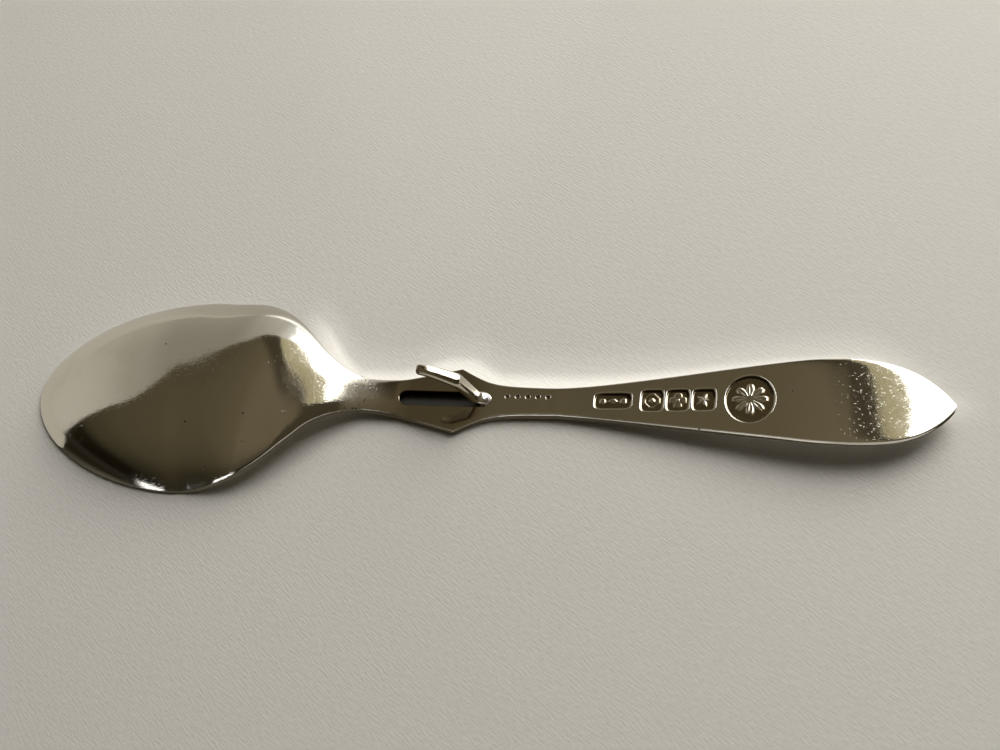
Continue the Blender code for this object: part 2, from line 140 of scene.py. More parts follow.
class Bench:
    """The node tree of one material or world, and the ways to add to it."""

    def __init__(self, tree: bpy.types.NodeTree) -> None:
        """Clears the tree.

        Args:
            tree: The node tree to fill.
        """
        self.tree = tree
        tree.nodes.clear()

    def add(
        self,
        kind: str,
        settings: Optional[Mapping[str, Any]] = None,
        sockets: Optional[Mapping[Union[str, int], Any]] = None,
    ) -> bpy.types.Node:
        """Adds one node: its settings first, then the values or links of its sockets.

        Args:
            kind: The node's type.
            settings: Attributes of the node.
            sockets: Values, wires or sockets, by input name or number.

        Returns:
            The new node.
        """
        node = self.tree.nodes.new(kind)
        for name, value in (settings or {}).items():
            setattr(node, name, value)
        for name, value in (sockets or {}).items():
            if isinstance(value, Wire):
                value = value.socket
            if isinstance(value, bpy.types.NodeSocket):
                self.tree.links.new(value, node.inputs[name])
            else:
                node.inputs[name].default_value = value
        return node

    def wire(self, node: bpy.types.Node, output: Union[str, int] = 0) -> Wire:
        """A wire from one output of a node."""
        return Wire(self, node.outputs[output])

    def maths(self, operation: str, *values: Number) -> Wire:
        """Adds a Math node.

        Args:
            operation: What it works out.
            values: Its inputs, in order.

        Returns:
            Its result.
        """
        return self.wire(self.add("ShaderNodeMath", {"operation": operation}, dict(enumerate(values))))

    def highest(self, first: Wire, *others: Wire) -> Wire:
        """The largest of several values.

        Args:
            first: One value.
            others: The other values.

        Returns:
            The largest, at each point.
        """
        for other in others:
            first = self.maths("MAXIMUM", first, other)
        return first

    def blend(self, share: Number, first: Any, second: Any) -> bpy.types.NodeSocket:
        """Mixes two colours.

        Args:
            share: How much of the second colour, from 0 to 1.
            first: A colour or a colour socket.
            second: A colour or a colour socket.

        Returns:
            The mixed colour's socket.
        """
        first, second = (with_alpha(c) if isinstance(c, tuple) else c for c in (first, second))
        settings = {"data_type": "RGBA"}
        return self.add("ShaderNodeMix", settings, {0: share, 6: first, 7: second}).outputs[2]

    def graded(self, value: Wire, stops: Tones) -> Any:
        """Mixes a row of colours, each from its stop to the next.

        Args:
            value: What the colours follow.
            stops: Pairs of value and colour, lowest value first.

        Returns:
            The colour's socket, or the only stop's colour.
        """
        colour: Any = with_alpha(stops[0][1])
        for (low, _), (high, following) in zip(stops, stops[1:]):
            colour = self.blend(value.step(low, high), colour, following)
        return colour

    def place(self) -> bpy.types.NodeSocket:
        """The point on the piece, in metres in the spoon's own frame."""
        return self.add("ShaderNodeTexCoord").outputs["Object"]

    def axes(self, point: Any) -> tuple[Wire, Wire, Wire]:
        """A point's three coordinates."""
        split = self.add("ShaderNodeSeparateXYZ", {}, {0: point})
        return self.wire(split, 0), self.wire(split, 1), self.wire(split, 2)

    def stretched(self, point: Any, angle: float, scale: Triple) -> bpy.types.NodeSocket:
        """Turns a point about Z and scales it, for streaks.

        Args:
            point: The point's socket.
            angle: Turn about Z, in radians.
            scale: Scale along each axis after the turn.

        Returns:
            The new point's socket.
        """
        turned = self.add("ShaderNodeMapping", {}, {"Vector": point, "Rotation": (0.0, 0.0, angle)})
        sockets = {0: turned.outputs[0], 1: scale}
        return self.add("ShaderNodeVectorMath", {"operation": "MULTIPLY"}, sockets).outputs[0]

    def noise(self, point: Any, scale: float, detail: float = 2.0, rough: float = 0.5) -> Wire:
        """Smooth noise from 0 to 1.

        Args:
            point: Where it is read.
            scale: Waves per metre of the point.
            detail: Number of finer octaves.
            rough: Strength of the finer octaves.

        Returns:
            The noise value.
        """
        sockets = {"Vector": point, "Scale": scale, "Detail": detail, "Roughness": rough}
        return self.wire(self.add("ShaderNodeTexNoise", {}, sockets))

    def cells(self, point: Any, scale: float) -> tuple[Wire, Wire]:
        """Scattered cells.

        Args:
            point: Where they are read.
            scale: Cells per metre of the point.

        Returns:
            The distance to a cell's middle, in cells, and a number of the cell's own from 0 to 1.
        """
        node = self.add("ShaderNodeTexVoronoi", {}, {"Vector": point, "Scale": scale})
        own = self.add("ShaderNodeSeparateColor", {}, {0: node.outputs["Color"]})
        return self.wire(node, "Distance"), self.wire(own)

    def bumped(self, height: Wire, distance: float) -> bpy.types.NodeSocket:
        """A normal from a height.

        Args:
            height: The height, from 0 to 1.
            distance: Metres between heights 0 and 1.

        Returns:
            The normal's socket.
        """
        return self.add("ShaderNodeBump", {}, {"Height": height, "Distance": distance}).outputs[0]

    def finish(self, output: str, shader: str, sockets: Mapping[str, Any]) -> None:
        """Adds the last shader and links it to the tree's output.

        Args:
            output: The output node's type.
            shader: The shader node's type.
            sockets: Values, wires or sockets of the shader, by input name.
        """
        self.add(output, {}, {0: self.add(shader, {}, sockets).outputs[0]})


def bare_material(name: str) -> tuple[bpy.types.Material, Bench]:
    """Starts a material.

    Args:
        name: The material's name.

    Returns:
        The material, with no nodes, and its bench.
    """
    made = bpy.data.materials.new(name)
    made.use_nodes = True
    return made, Bench(made.node_tree)


def with_alpha(colour: Colour) -> tuple[float, float, float, float]:
    """A colour with full alpha."""
    return (*colour[:3], 1.0)


@dataclass(frozen=True)
class Flecks:
    """Short fine scratches that run one way, scattered unevenly.

    The turn about Z is in degrees, the pitch is the room for one scratch along its length, in metres,
    and the share says how many of the rooms hold one.
    """

    turn: float
    pitch: float
    share: float
    slimness: float = 8.0
    depth_scale: float = 0.5
    edge: Span = (0.22, 0.10)
    softness: float = 0.03

    def drawn(self, bench: Bench, point: Any) -> Wire:
        """Adds the scratches to a material.

        Args:
            bench: The material's nodes.
            point: The point on the piece.

        Returns:
            1 in a scratch and 0 outside it.
        """
        scale = (1 / self.pitch, self.slimness / self.pitch, self.depth_scale / self.pitch)
        drawn = bench.stretched(point, math.radians(self.turn), scale)
        distance, own = bench.cells(drawn, 1.0)
        return distance.step(*self.edge) * own.step(1 - self.share, 1 - self.share + self.softness)


@dataclass(frozen=True)
class SilverFinish:
    """Polished silver with the wear of a spoon in use: flecks, pits, dull clouds and tarnish, and
    painted shade.

    A Span is the pair of values where a mask is 0 and where it is 1. A noise is given by its scale,
    the number of its finer octaves and their strength.
    """

    name: str = "worn_silver"
    silver: Colour = (0.90, 0.875, 0.81)
    tarnish: Colour = (0.40, 0.34, 0.23)
    # Near black for old tarnish and for painted shade: on the slot's walls, the panels' lee walls and
    # the hook's underside.
    soot_and_shade: Colour = (0.035, 0.030, 0.024)
    pit_colour: Colour = (0.06, 0.05, 0.035)
    joint_x: float = -0.0165
    joint_reach: Span = (0.0046, 0.0008)
    joint_wander: float = 0.004
    worn_x: float = 0.066
    worn_reach: Span = (0.0105, 0.003)
    hook_x: float = -0.0050
    hook_reach: Span = (0.0115, 0.0060)
    all_over: tuple[Flecks, ...] = (
        Flecks(6.0, 0.0019, 0.16), Flecks(-34.0, 0.0015, 0.12), Flecks(68.0, 0.0011, 0.10),
    )
    by_medal: tuple[Flecks, ...] = (Flecks(-12.0, 0.0011, 0.24), Flecks(39.0, 0.0009, 0.20))
    scratched: Span = (0.46, 0.60)
    cloud_noise: tuple[float, ...] = (130.0, 4.0, 0.6)
    haze_noise: tuple[float, ...] = (620.0, 3.0, 0.6)
    fuzz_noise: tuple[float, ...] = (2600.0, 2.0)
    wave_noise: tuple[float, ...] = (105.0, 1.0)
    pit_scale: float = 300.0
    pit_edge: Span = (0.075, 0.03)
    pit_share: Span = (0.72, 0.76)
    joint_pit_scale: float = 1700.0
    joint_pit_edge: Span = (0.44, 0.16)
    joint_pit_share: Span = (0.50, 0.58)
    clouded: Span = (0.50, 0.78)
    tarnished: Span = (0.0, 0.5)
    soot_and_shade_span: Span = (0.5, 1.0)
    cloud_stain: float = 0.10
    joint_stain: float = 0.16
    hook_shade: float = 0.60
    pit_cover: float = 0.92
    polish: float = 0.055
    dullness: float = 0.035
    hazy: Span = (0.35, 0.7)
    scratch_roughness: float = 0.12
    pit_roughness: float = 0.3
    patina_roughness: float = 0.22
    joint_roughness: float = 0.15
    relief: float = 0.0000045
    wave_depth: float = 0.0000035
    hair_turn: float = math.radians(-14.0)
    hair_scale: Triple = (700.0, 5200.0, 5200.0)
    hair_edge: Span = (0.50, 0.72)
    hair_depth: float = 0.45
    fuzz_height: float = 0.35
    haze_height: float = 0.5
    scratch_depth: float = 0.9
    pit_depth: float = 3.0
    joint_pit_depth: float = 0.9
    joint_fuzz_height: float = 0.5

    def material(self) -> bpy.types.Material:
        """Builds the finish.

        Returns:
            The material.
        """
        made, bench = bare_material(self.name)
        point = bench.place()
        along, _, _ = bench.axes(point)
        cloud = bench.noise(point, *self.cloud_noise)
        haze = bench.noise(point, *self.haze_noise)
        patina_and_shade = bench.wire(bench.add("ShaderNodeAttribute", {"attribute_name": "patina_and_shade"}), "Fac")

        worn = abs(along - self.worn_x).step(*self.worn_reach)
        at_joint = abs(along - self.joint_x + self.joint_wander * (cloud - 0.5)).step(*self.joint_reach)
        # Painted shade on the shank round the hook's foot, blended towards the tarnish colour below.
        shade_by_hook = abs(along - self.hook_x).step(*self.hook_reach)

        scratches = bench.highest(*(flecks.drawn(bench, point) for flecks in self.all_over))
        scratches = scratches * cloud.step(*self.scratched)
        scratches = bench.highest(
            scratches, *(flecks.drawn(bench, point) * worn for flecks in self.by_medal)
        )

        distance, own = bench.cells(point, self.pit_scale)
        pits = distance.step(*self.pit_edge) * own.step(*self.pit_share)
        distance, own = bench.cells(point, self.joint_pit_scale)
        joint_pits = distance.step(*self.joint_pit_edge) * own.step(*self.joint_pit_share) * at_joint
        all_pits = bench.highest(pits, joint_pits)

        # The point's patina value also holds painted shade, and the painted shade round the hook joins
        # it here: both darken towards tarnish and near black.
        stain = self.cloud_stain * cloud.step(*self.clouded) + patina_and_shade.step(*self.tarnished)
        stain = stain + self.joint_stain * at_joint + self.hook_shade * shade_by_hook
        colour = bench.blend(stain, self.silver, self.tarnish)
        colour = bench.blend(patina_and_shade.step(*self.soot_and_shade_span), colour, self.soot_and_shade)
        colour = bench.blend(self.pit_cover * all_pits, colour, self.pit_colour)

        roughness = self.polish + self.dullness * haze.step(*self.hazy)
        roughness = roughness + self.scratch_roughness * scratches + self.pit_roughness * all_pits
        roughness = roughness + self.patina_roughness * patina_and_shade + self.joint_roughness * at_joint

        hair = bench.noise(bench.stretched(point, self.hair_turn, self.hair_scale), 1.0, 1.0)
        fuzz = bench.noise(point, *self.fuzz_noise)
        waves = bench.noise(point, *self.wave_noise)
        height = waves * (self.wave_depth / self.relief) - self.hair_depth * hair.step(*self.hair_edge)
        height = height + self.fuzz_height * fuzz + self.haze_height * haze
        height = height - self.scratch_depth * scratches - self.pit_depth * pits
        height = height - self.joint_pit_depth * joint_pits + self.joint_fuzz_height * at_joint * fuzz
        normal = bench.bumped(height, self.relief)

        sockets = {"Base Color": colour, "Metallic": 1.0, "Roughness": roughness, "Normal": normal}
        bench.finish("ShaderNodeOutputMaterial", "ShaderNodeBsdfPrincipled", sockets)
        return made


@dataclass(frozen=True)
class SolderFinish:
    """Bright solder: whiter and lumpier than the silver, with a few pores."""

    name: str = "bright_solder"
    solder: Colour = (0.86, 0.85, 0.82)
    shade: Colour = (0.40, 0.35, 0.25)
    pore_scale: float = 2600.0
    pore_edge: Span = (0.36, 0.12)
    pore_share: Span = (0.55, 0.65)
    pore_stain: float = 0.6
    pore_roughness: float = 0.25
    pore_depth: float = 0.5
    polish: float = 0.17
    lump_scale: float = 900.0
    lump_edge: Span = (0.50, 0.75)
    lump_stain: float = 0.35
    lump_roughness: float = 0.12
    lump_depth: float = 0.00006

    def material(self) -> bpy.types.Material:
        """Builds the finish.

        Returns:
            The material.
        """
        made, bench = bare_material(self.name)
        point = bench.place()
        lumps = bench.noise(point, self.lump_scale, 2.0)
        distance, own = bench.cells(point, self.pore_scale)
        pores = distance.step(*self.pore_edge) * own.step(*self.pore_share)
        stain = self.lump_stain * lumps.step(*self.lump_edge) + self.pore_stain * pores
        colour = bench.blend(stain, self.solder, self.shade)
        roughness = self.polish + self.lump_roughness * lumps + self.pore_roughness * pores
        normal = bench.bumped(lumps - self.pore_depth * pores, self.lump_depth)
        sockets = {"Base Color": colour, "Metallic": 1.0, "Roughness": roughness, "Normal": normal}
        bench.finish("ShaderNodeOutputMaterial", "ShaderNodeBsdfPrincipled", sockets)
        return made


@dataclass(frozen=True)
class FloorFinish:
    """A plain pale floor with a fine grain like cloth.

    It carries the light that the polished edge throws on it along the spoon's far side, which no lamp
    can make in the render's time, and the dark that shows through the slot.
    """

    name: str = "pale_floor"
    pale: Colour = (0.640, 0.615, 0.570)
    shade: Colour = (0.600, 0.575, 0.530)
    grain: float = 0.00009
    weave_angle: float = math.radians(38.0)
    rib_scale: Triple = (700.0, 3200.0, 700.0)
    cross_scale: Triple = (900.0, 2600.0, 900.0)
    rib_share: float = 0.6
    weave_edge: Span = (0.3, 0.7)
    roughness: float = 0.9
    gloss: float = 0.15
    fold_scale: float = 26.0
    fold_height: float = 2.2
    thrown: Colour = (0.40, 0.385, 0.345)
    unlit: Colour = (0.05, 0.047, 0.041)
    slot_start: Span = (-0.0112, -0.0104)
    slot_end: Span = (0.0044, 0.0036)
    slot_half: Span = (0.0018, 0.0013)
    stem_half: float = 0.0028
    bowl_growth: float = 0.0120
    bowl_place: Span = (-0.0175, -0.0310)
    swell_growth: float = 0.0049
    swell_place: Span = (0.018, 0.064)
    shank_growth: float = 0.0030
    shank_start: Span = (-0.0120, -0.0020)
    shank_end: Span = (0.0070, 0.0)
    tip_loss: float = 0.0070
    tip_place: Span = (0.064, 0.080)
    wide_share: float = 0.34
    wide_reach: Span = (0.0100, 0.0015)
    close_share: float = 0.66
    close_reach: Span = (0.0042, 0.0014)
    glow_start: Span = (-0.0330, -0.0230)
    glow_end: Span = (0.084, 0.068)
    far_side: Span = (-0.002, 0.003)

    def glow(self, along: Wire, north: Wire) -> Wire:
        """Share of the light that the silver throws on the floor along the spoon's far side.

        Args:
            along: Place along the spoon.
            north: Place across the spoon.

        Returns:
            The share, 0 to 1.
        """
        half = self.stem_half + self.bowl_growth * along.step(*self.bowl_place)
        half = half + self.swell_growth * along.step(*self.swell_place)
        half = half + self.shank_growth * along.step(*self.shank_start) * along.step(*self.shank_end)
        half = half - self.tip_loss * along.step(*self.tip_place)
        away = north - half
        light = self.wide_share * away.step(*self.wide_reach)
        light = light + self.close_share * away.step(*self.close_reach)
        ends = along.step(*self.glow_start) * along.step(*self.glow_end)
        return light * ends * north.step(*self.far_side)

    def material(self) -> bpy.types.Material:
        """Builds the finish.

        Returns:
            The material.
        """
        made, bench = bare_material(self.name)
        point = bench.place()
        along, north, _ = bench.axes(point)
        ribs = bench.noise(bench.stretched(point, self.weave_angle, self.rib_scale), 1.0, 2.0)
        cross = bench.noise(bench.stretched(point, -self.weave_angle, self.cross_scale), 1.0, 2.0)
        folds = bench.noise(point, self.fold_scale, 2.0)
        grain = self.rib_share * ribs + (1 - self.rib_share) * cross
        normal = bench.bumped(grain + self.fold_height * folds, self.grain)
        slot = along.step(*self.slot_start) * along.step(*self.slot_end)
        slot = slot * abs(north).step(*self.slot_half)
        colour = bench.blend(grain.step(*self.weave_edge), self.shade, self.pale)
        colour = bench.blend(slot, colour, self.unlit)
        thrown = bench.blend(self.glow(along, north) * (1 - slot), BLACK, self.thrown)
        sockets = {
            "Base Color": colour, "Roughness": self.roughness, "Specular IOR Level": self.gloss,
            "Normal": normal, "Emission Color": thrown, "Emission Strength": 1.0,
        }
        bench.finish("ShaderNodeOutputMaterial", "ShaderNodeBsdfPrincipled", sockets)
        return made


@dataclass(frozen=True)
class GlowFinish:
    """A studio card's glow: tones at places across it, each flowing into the next.

    A card with a fade grows darker towards its near end and has a band of another tone at its edge.
    """

    name: str
    stops: Tones
    lean: float = 0.0
    fade: float = 0.0
    band: Colour = BLACK
    band_lean: float = 0.0
    fade_reach: Span = (-0.4, -2.8)
    band_reach: Span = (0.30, 0.42)

    def material(self) -> bpy.types.Material:
        """Builds the finish.

        Returns:
            The material.
        """
        made, bench = bare_material(self.name)
        east, north, _ = bench.axes(bench.place())
        colour = bench.graded(east + self.lean * north, self.stops)
        if self.fade:
            colour = bench.blend(self.fade * north.step(*self.fade_reach), colour, BLACK)
            at_edge = (east + self.band_lean * north).step(*self.band_reach)
            colour = bench.blend(at_edge, colour, self.band)
        sockets = {"Color": colour, "Strength": 1.0}
        bench.finish("ShaderNodeOutputMaterial", "ShaderNodeEmission", sockets)
        return made


def mix(start: float, end: float, share: float) -> float:
    """Goes from start to end as share goes from 0 to 1."""
    return start + (end - start) * share


def arch(share: float, fullness: float, swell: float) -> float:
    """Height of an arch, from 1 in its middle to 0 at its foot.

    Args:
        share: Distance from the middle, from 0 to 1.
        fullness: 1 for a foot that slants, below 1 for an upright foot.
        swell: How much rounder than a parabola the arch is.

    Returns:
        The height.
    """
    return (1 - share ** 2) ** fullness * (1 + swell * share ** 2)


def ease(share: float) -> float:
    """Goes from 0 to 1 with level ends."""
    share = min(max(share, 0.0), 1.0)
    return share ** 2 * (3 - 2 * share)


def boss(distance: float, reach: float) -> float:
    """Height of a round boss: 1 in its middle and 0 from its reach on."""
    return math.sqrt(max(1 - (distance / reach) ** 2, 0.0))


def ridge(place: float, middle: float, width: float) -> float:
    """Height of a soft ridge: 1 on its middle line, with a foot about twice the width away."""
    return math.exp(-((place - middle) / width) ** 2)


def ramp(share: float, bend: float = 0.35) -> float:
    """A straight rise from 0 to 1 with a soft end.

    Args:
        share: Place along it; outside 0 to 1 it is level.
        bend: Share of the way that the end's bend takes.

    Returns:
        The rise.
    """
    share = min(max(share, 0.0), 1.0)
    if share < 1 - bend:
        return share / (1 - bend / 2)
    return 1 - (1 - share) ** 2 / (2 * bend * (1 - bend / 2))


def arc(centre: tuple[float, float], radius: float, start: float, end: float, steps: int) -> Outline:
    """Points on an arc in a plane.

    Args:
        centre: The arc's middle.
        radius: Its radius.
        start: The first point's angle.
        end: The last point's angle.
        steps: The number of stretches.

    Returns:
        The points, with both ends.
    """
    turns = [mix(start, end, i / steps) for i in range(steps + 1)]
    return [(centre[0] + radius * math.cos(t), centre[1] + radius * math.sin(t)) for t in turns]


def flowing(points: Sequence[tuple[float, float]], steps: int = 8) -> Outline:
    """A smooth line through points.

    Args:
        points: The points, in order.
        steps: Stretches between two of them.

    Returns:
        The line's points.
    """
    line = []
    for i in range(len(points) - 1):
        before, start = points[max(i - 1, 0)], points[i]
        end, after = points[i + 1], points[min(i + 2, len(points) - 1)]
        for k in range(steps):
            t = k / steps
            four = (before, start, end, after)
            weights = (
                -t + 2 * t ** 2 - t ** 3, 2 - 5 * t ** 2 + 3 * t ** 3,
                t + 4 * t ** 2 - 3 * t ** 3, t ** 3 - t ** 2,
            )
            line.append(tuple(sum(w * p[axis] for w, p in zip(weights, four)) / 2 for axis in (0, 1)))
    return line + [tuple(points[-1])]


@dataclass(frozen=True)
class ShareCurve:
    """A smooth curve through pairs of shares. It never overshoots them.

    Polished silver shows each change of curvature, so a reading is averaged over a short stretch.
    """

    pairs: Pairs
    spread: float = 0.03
    samples: int = 9

    def exact(self, share: float) -> float:
        """Reads the curve at one place.

        Args:
            share: How far along the stretch.

        Returns:
            How far from its first size to its last.
        """
        if share <= self.pairs[0][0]:
            return self.pairs[0][1]
        if share >= self.pairs[-1][0]:
            return self.pairs[-1][1]
        steps = [b[0] - a[0] for a, b in zip(self.pairs, self.pairs[1:])]
        slopes = [(b[1] - a[1]) / s for a, b, s in zip(self.pairs, self.pairs[1:], steps)]
        tangents = [slopes[0]]
        for before, after in zip(slopes, slopes[1:]):
            tangents.append(0.0 if before * after <= 0 else 2 * before * after / (before + after))
        tangents.append(slopes[-1])
        i = next(k for k in range(len(steps)) if share <= self.pairs[k + 1][0])
        t = (share - self.pairs[i][0]) / steps[i]
        start, end = self.pairs[i][1], self.pairs[i + 1][1]
        held = start * (1 + 2 * t) * (1 - t) ** 2 + end * t ** 2 * (3 - 2 * t)
        leaned = tangents[i] * t * (1 - t) ** 2 + tangents[i + 1] * t ** 2 * (t - 1)
        return held + steps[i] * leaned

    def __call__(self, share: float) -> float:
        """Reads the curve, averaged over a stretch that shrinks to nothing at both ends.

        Args:
            share: How far along the stretch.

        Returns:
            How far from its first size to its last.
        """
        room = min(share - self.pairs[0][0], self.pairs[-1][0] - share)
        reach = max(min(self.spread, room), 0.0)
        if reach == 0.0:
            return self.exact(share)
        places = [share + reach * (2 * (k + 0.5) / self.samples - 1) for k in range(self.samples)]
        return sum(self.exact(place) for place in places) / self.samples


class Skin:
    """A mesh under construction: points, faces and, for each point, a value of patina and painted
    shade.
    """

    def __init__(self, name: str) -> None:
        """Starts an empty skin.

        Args:
            name: The piece's name.
        """
        self.name = name
        self.points: list[Vector] = []
        self.faces: list[tuple[int, ...]] = []
        self.patina_and_shade: list[float] = []

    def ring(self, points: Iterable[Vector], patina_and_shade: float = 0.0) -> list[int]:
        """Adds a row of points.

        Args:
            points: The points.
            patina_and_shade: How dark the metal is there, with patina and painted shade, from 0 to 1.

        Returns:
            The points' numbers.
        """
        start = len(self.points)
        self.points.extend(points)
        self.patina_and_shade.extend([patina_and_shade] * (len(self.points) - start))
        return list(range(start, len(self.points)))

    def bridge(self, first: Sequence[int], second: Sequence[int]) -> None:
        """Joins two closed rings of equal count with faces.

        Args:
            first: One ring's points.
            second: The other ring's points, in the same order.
        """
        count = len(first)
        for i in range(count):
            j = (i + 1) % count
            self.faces.append((first[i], first[j], second[j], second[i]))

    def close(self, ring: Sequence[int], flip: bool = False) -> None:
        """Closes a ring with triangles to its middle.

        Args:
            ring: The ring's points.
            flip: Whether the faces look the other way.
        """
        middle = sum((self.points[i] for i in ring), Vector()) / len(ring)
        hub = self.ring([middle], self.patina_and_shade[ring[0]])[0]
        for i, corner in enumerate(ring):
            following = ring[(i + 1) % len(ring)]
            self.faces.append((following, corner, hub) if flip else (corner, following, hub))

    def loft(self, rings: Sequence[Sequence[int]]) -> None:
        """Joins each ring with the next and closes both ends.

        Args:
            rings: The rings' points, from one end to the other.
        """
        for first, second in zip(rings, rings[1:]):
            self.bridge(first, second)
        self.close(rings[0], flip=True)
        self.close(rings[-1])

    def build(self, sharp: float = CRISP) -> bpy.types.Object:
        """Makes the object, with outward faces and smooth shading.

        Args:
            sharp: Edges that bend more than this many degrees stay crisp.

        Returns:
            The object.
        """
        mesh = bpy.data.meshes.new(self.name)
        mesh.from_pydata(self.points, [], self.faces)
        mesh.validate()
        layer = mesh.attributes.new("patina_and_shade", "FLOAT", "POINT")
        layer.data.foreach_set("value", self.patina_and_shade)
        mesh.shade_smooth()
        mesh.set_sharp_from_angle(angle=math.radians(sharp))
        piece = bpy.data.objects.new(self.name, mesh)
        bpy.context.scene.collection.objects.link(piece)
        return piece


def dressed(piece: bpy.types.Object, material: bpy.types.Material) -> bpy.types.Object:
    """Gives a piece its finish and its place on the spoon.

    Args:
        piece: The piece, in place.
        material: Its finish.

    Returns:
        The piece.
    """
    piece.data.materials.clear()
    piece.data.materials.append(material)
    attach(piece, ROOT_BODY)
    LOG.info("%s: %d faces", piece.name, len(piece.data.polygons))
    return piece


@dataclass(frozen=True)
class PlateSection:
    """One cross section: a level front, upright sides and a crowned back, symmetric in Y.

    With a bevel, the upper part of each side leans inward in a rounded line.
    """

    half: float
    low: float
    side: float
    crown: float
    fullness: float
    swell: float = 0.0
    bevel: float = 0.0
    bevel_depth: float = 0.0

    def height(self, y: float) -> float:
        """The back's height at a distance from the middle.

        Args:
            y: The distance.

        Returns:
            The height.
        """
        share = min(abs(y) / self.half, 1.0)
        return self.low + self.side + self.crown * arch(share, self.fullness, self.swell)

    def outline(self, fillet: float, corner_steps: int, back_steps: int) -> Outline:
        """The section's points, from the right corner over the back to the left corner.

        Args:
            fillet: Radius of the front corners.
            corner_steps: Stretches on each corner.
            back_steps: Stretches on each half of the back.

        Returns:
            Pairs of y and z.
        """
        fillet = min(fillet, self.half / 2, self.side / 2)
        centre = (self.half - fillet, self.low + fillet)
        right = arc(centre, fillet, -math.pi / 2, 0.0, corner_steps)
        narrow = self.half - min(self.bevel, self.half / 4)
        if self.bevel_depth:
            for share in (1.0, 0.5):
                high = self.low + self.side - share * self.bevel_depth
                right.append((mix(narrow, self.half, share), high))
        # A full crown has a steep foot, so the points crowd there.
        power = 1.0 + max(1.0 - 2 * self.fullness, 0.0) ** 2
        for i in range(back_steps + 1):
            turn = math.pi / 2 * (i / back_steps) ** power
            right.append((narrow * math.cos(turn), self.height(self.half * math.cos(turn))))
        return right + [(-y, z) for y, z in reversed(right[:-1])]


@dataclass
class Neck:
    """The section where bowl and handle are soldered, and the slant of that joint."""

    width: float = 0.0062
    thickness: float = 0.0022
    side: float = 0.0008
    lift: float = 0.0011
    fullness: float = 0.5
    slope: float = 0.6
    fall: float = 0.27
    gap: float = 0.0003
    joint_x: float = -0.0165
    solder_reach: float = 0.00021
    solder_rise: float = 0.000001
    solder_steps: int = 8
    corner_steps: int = 3
    back_steps: int = 24

    def section(self, growth: float = 0.0) -> PlateSection:
        """The neck's section, as it is or grown outward.

        Args:
            growth: How far it is grown.

        Returns:
            The section.
        """
        crown = self.thickness - self.side
        half = self.width / 2 + growth
        low, side = self.lift - growth, self.side + growth
        return PlateSection(half, low, side, crown + growth, self.fullness)

    def leaned(self, x: float, y: float, z: float) -> Vector:
        """A point of a section that leans with the joint, its back falling to the handle.

        Args:
            x: The section's place along the spoon.
            y: The point's distance from the middle.
            z: The point's height in the upright section.

        Returns:
            The point.
        """
        up = z - self.section().low
        lean = self.slope * (up - self.thickness / 2)
        drop = self.fall * max(x + lean - self.joint_x, 0.0) * up / self.thickness
        return Vector((x + lean, y, z - drop))

    def solder(self, material: bpy.types.Material) -> bpy.types.Object:
        """The line of solder that fills the joint, filed down to a hair proud of the metal.

        Args:
            material: The solder's finish.

        Returns:
            The piece.
        """
        skin = Skin("neck_solder")
        rings = []
        for i in range(self.solder_steps + 1):
            share = 2 * i / self.solder_steps - 1
            x = self.joint_x + self.gap / 2 + self.solder_reach * share
            growth = self.solder_rise * (1 - 2 * share ** 2)
            outline = self.section(growth).outline(self.gap, self.corner_steps, self.back_steps)
            rings.append(skin.ring(self.leaned(x, y, z) for y, z in outline))
        skin.loft(rings)
        return dressed(skin.build(SOFT), material)


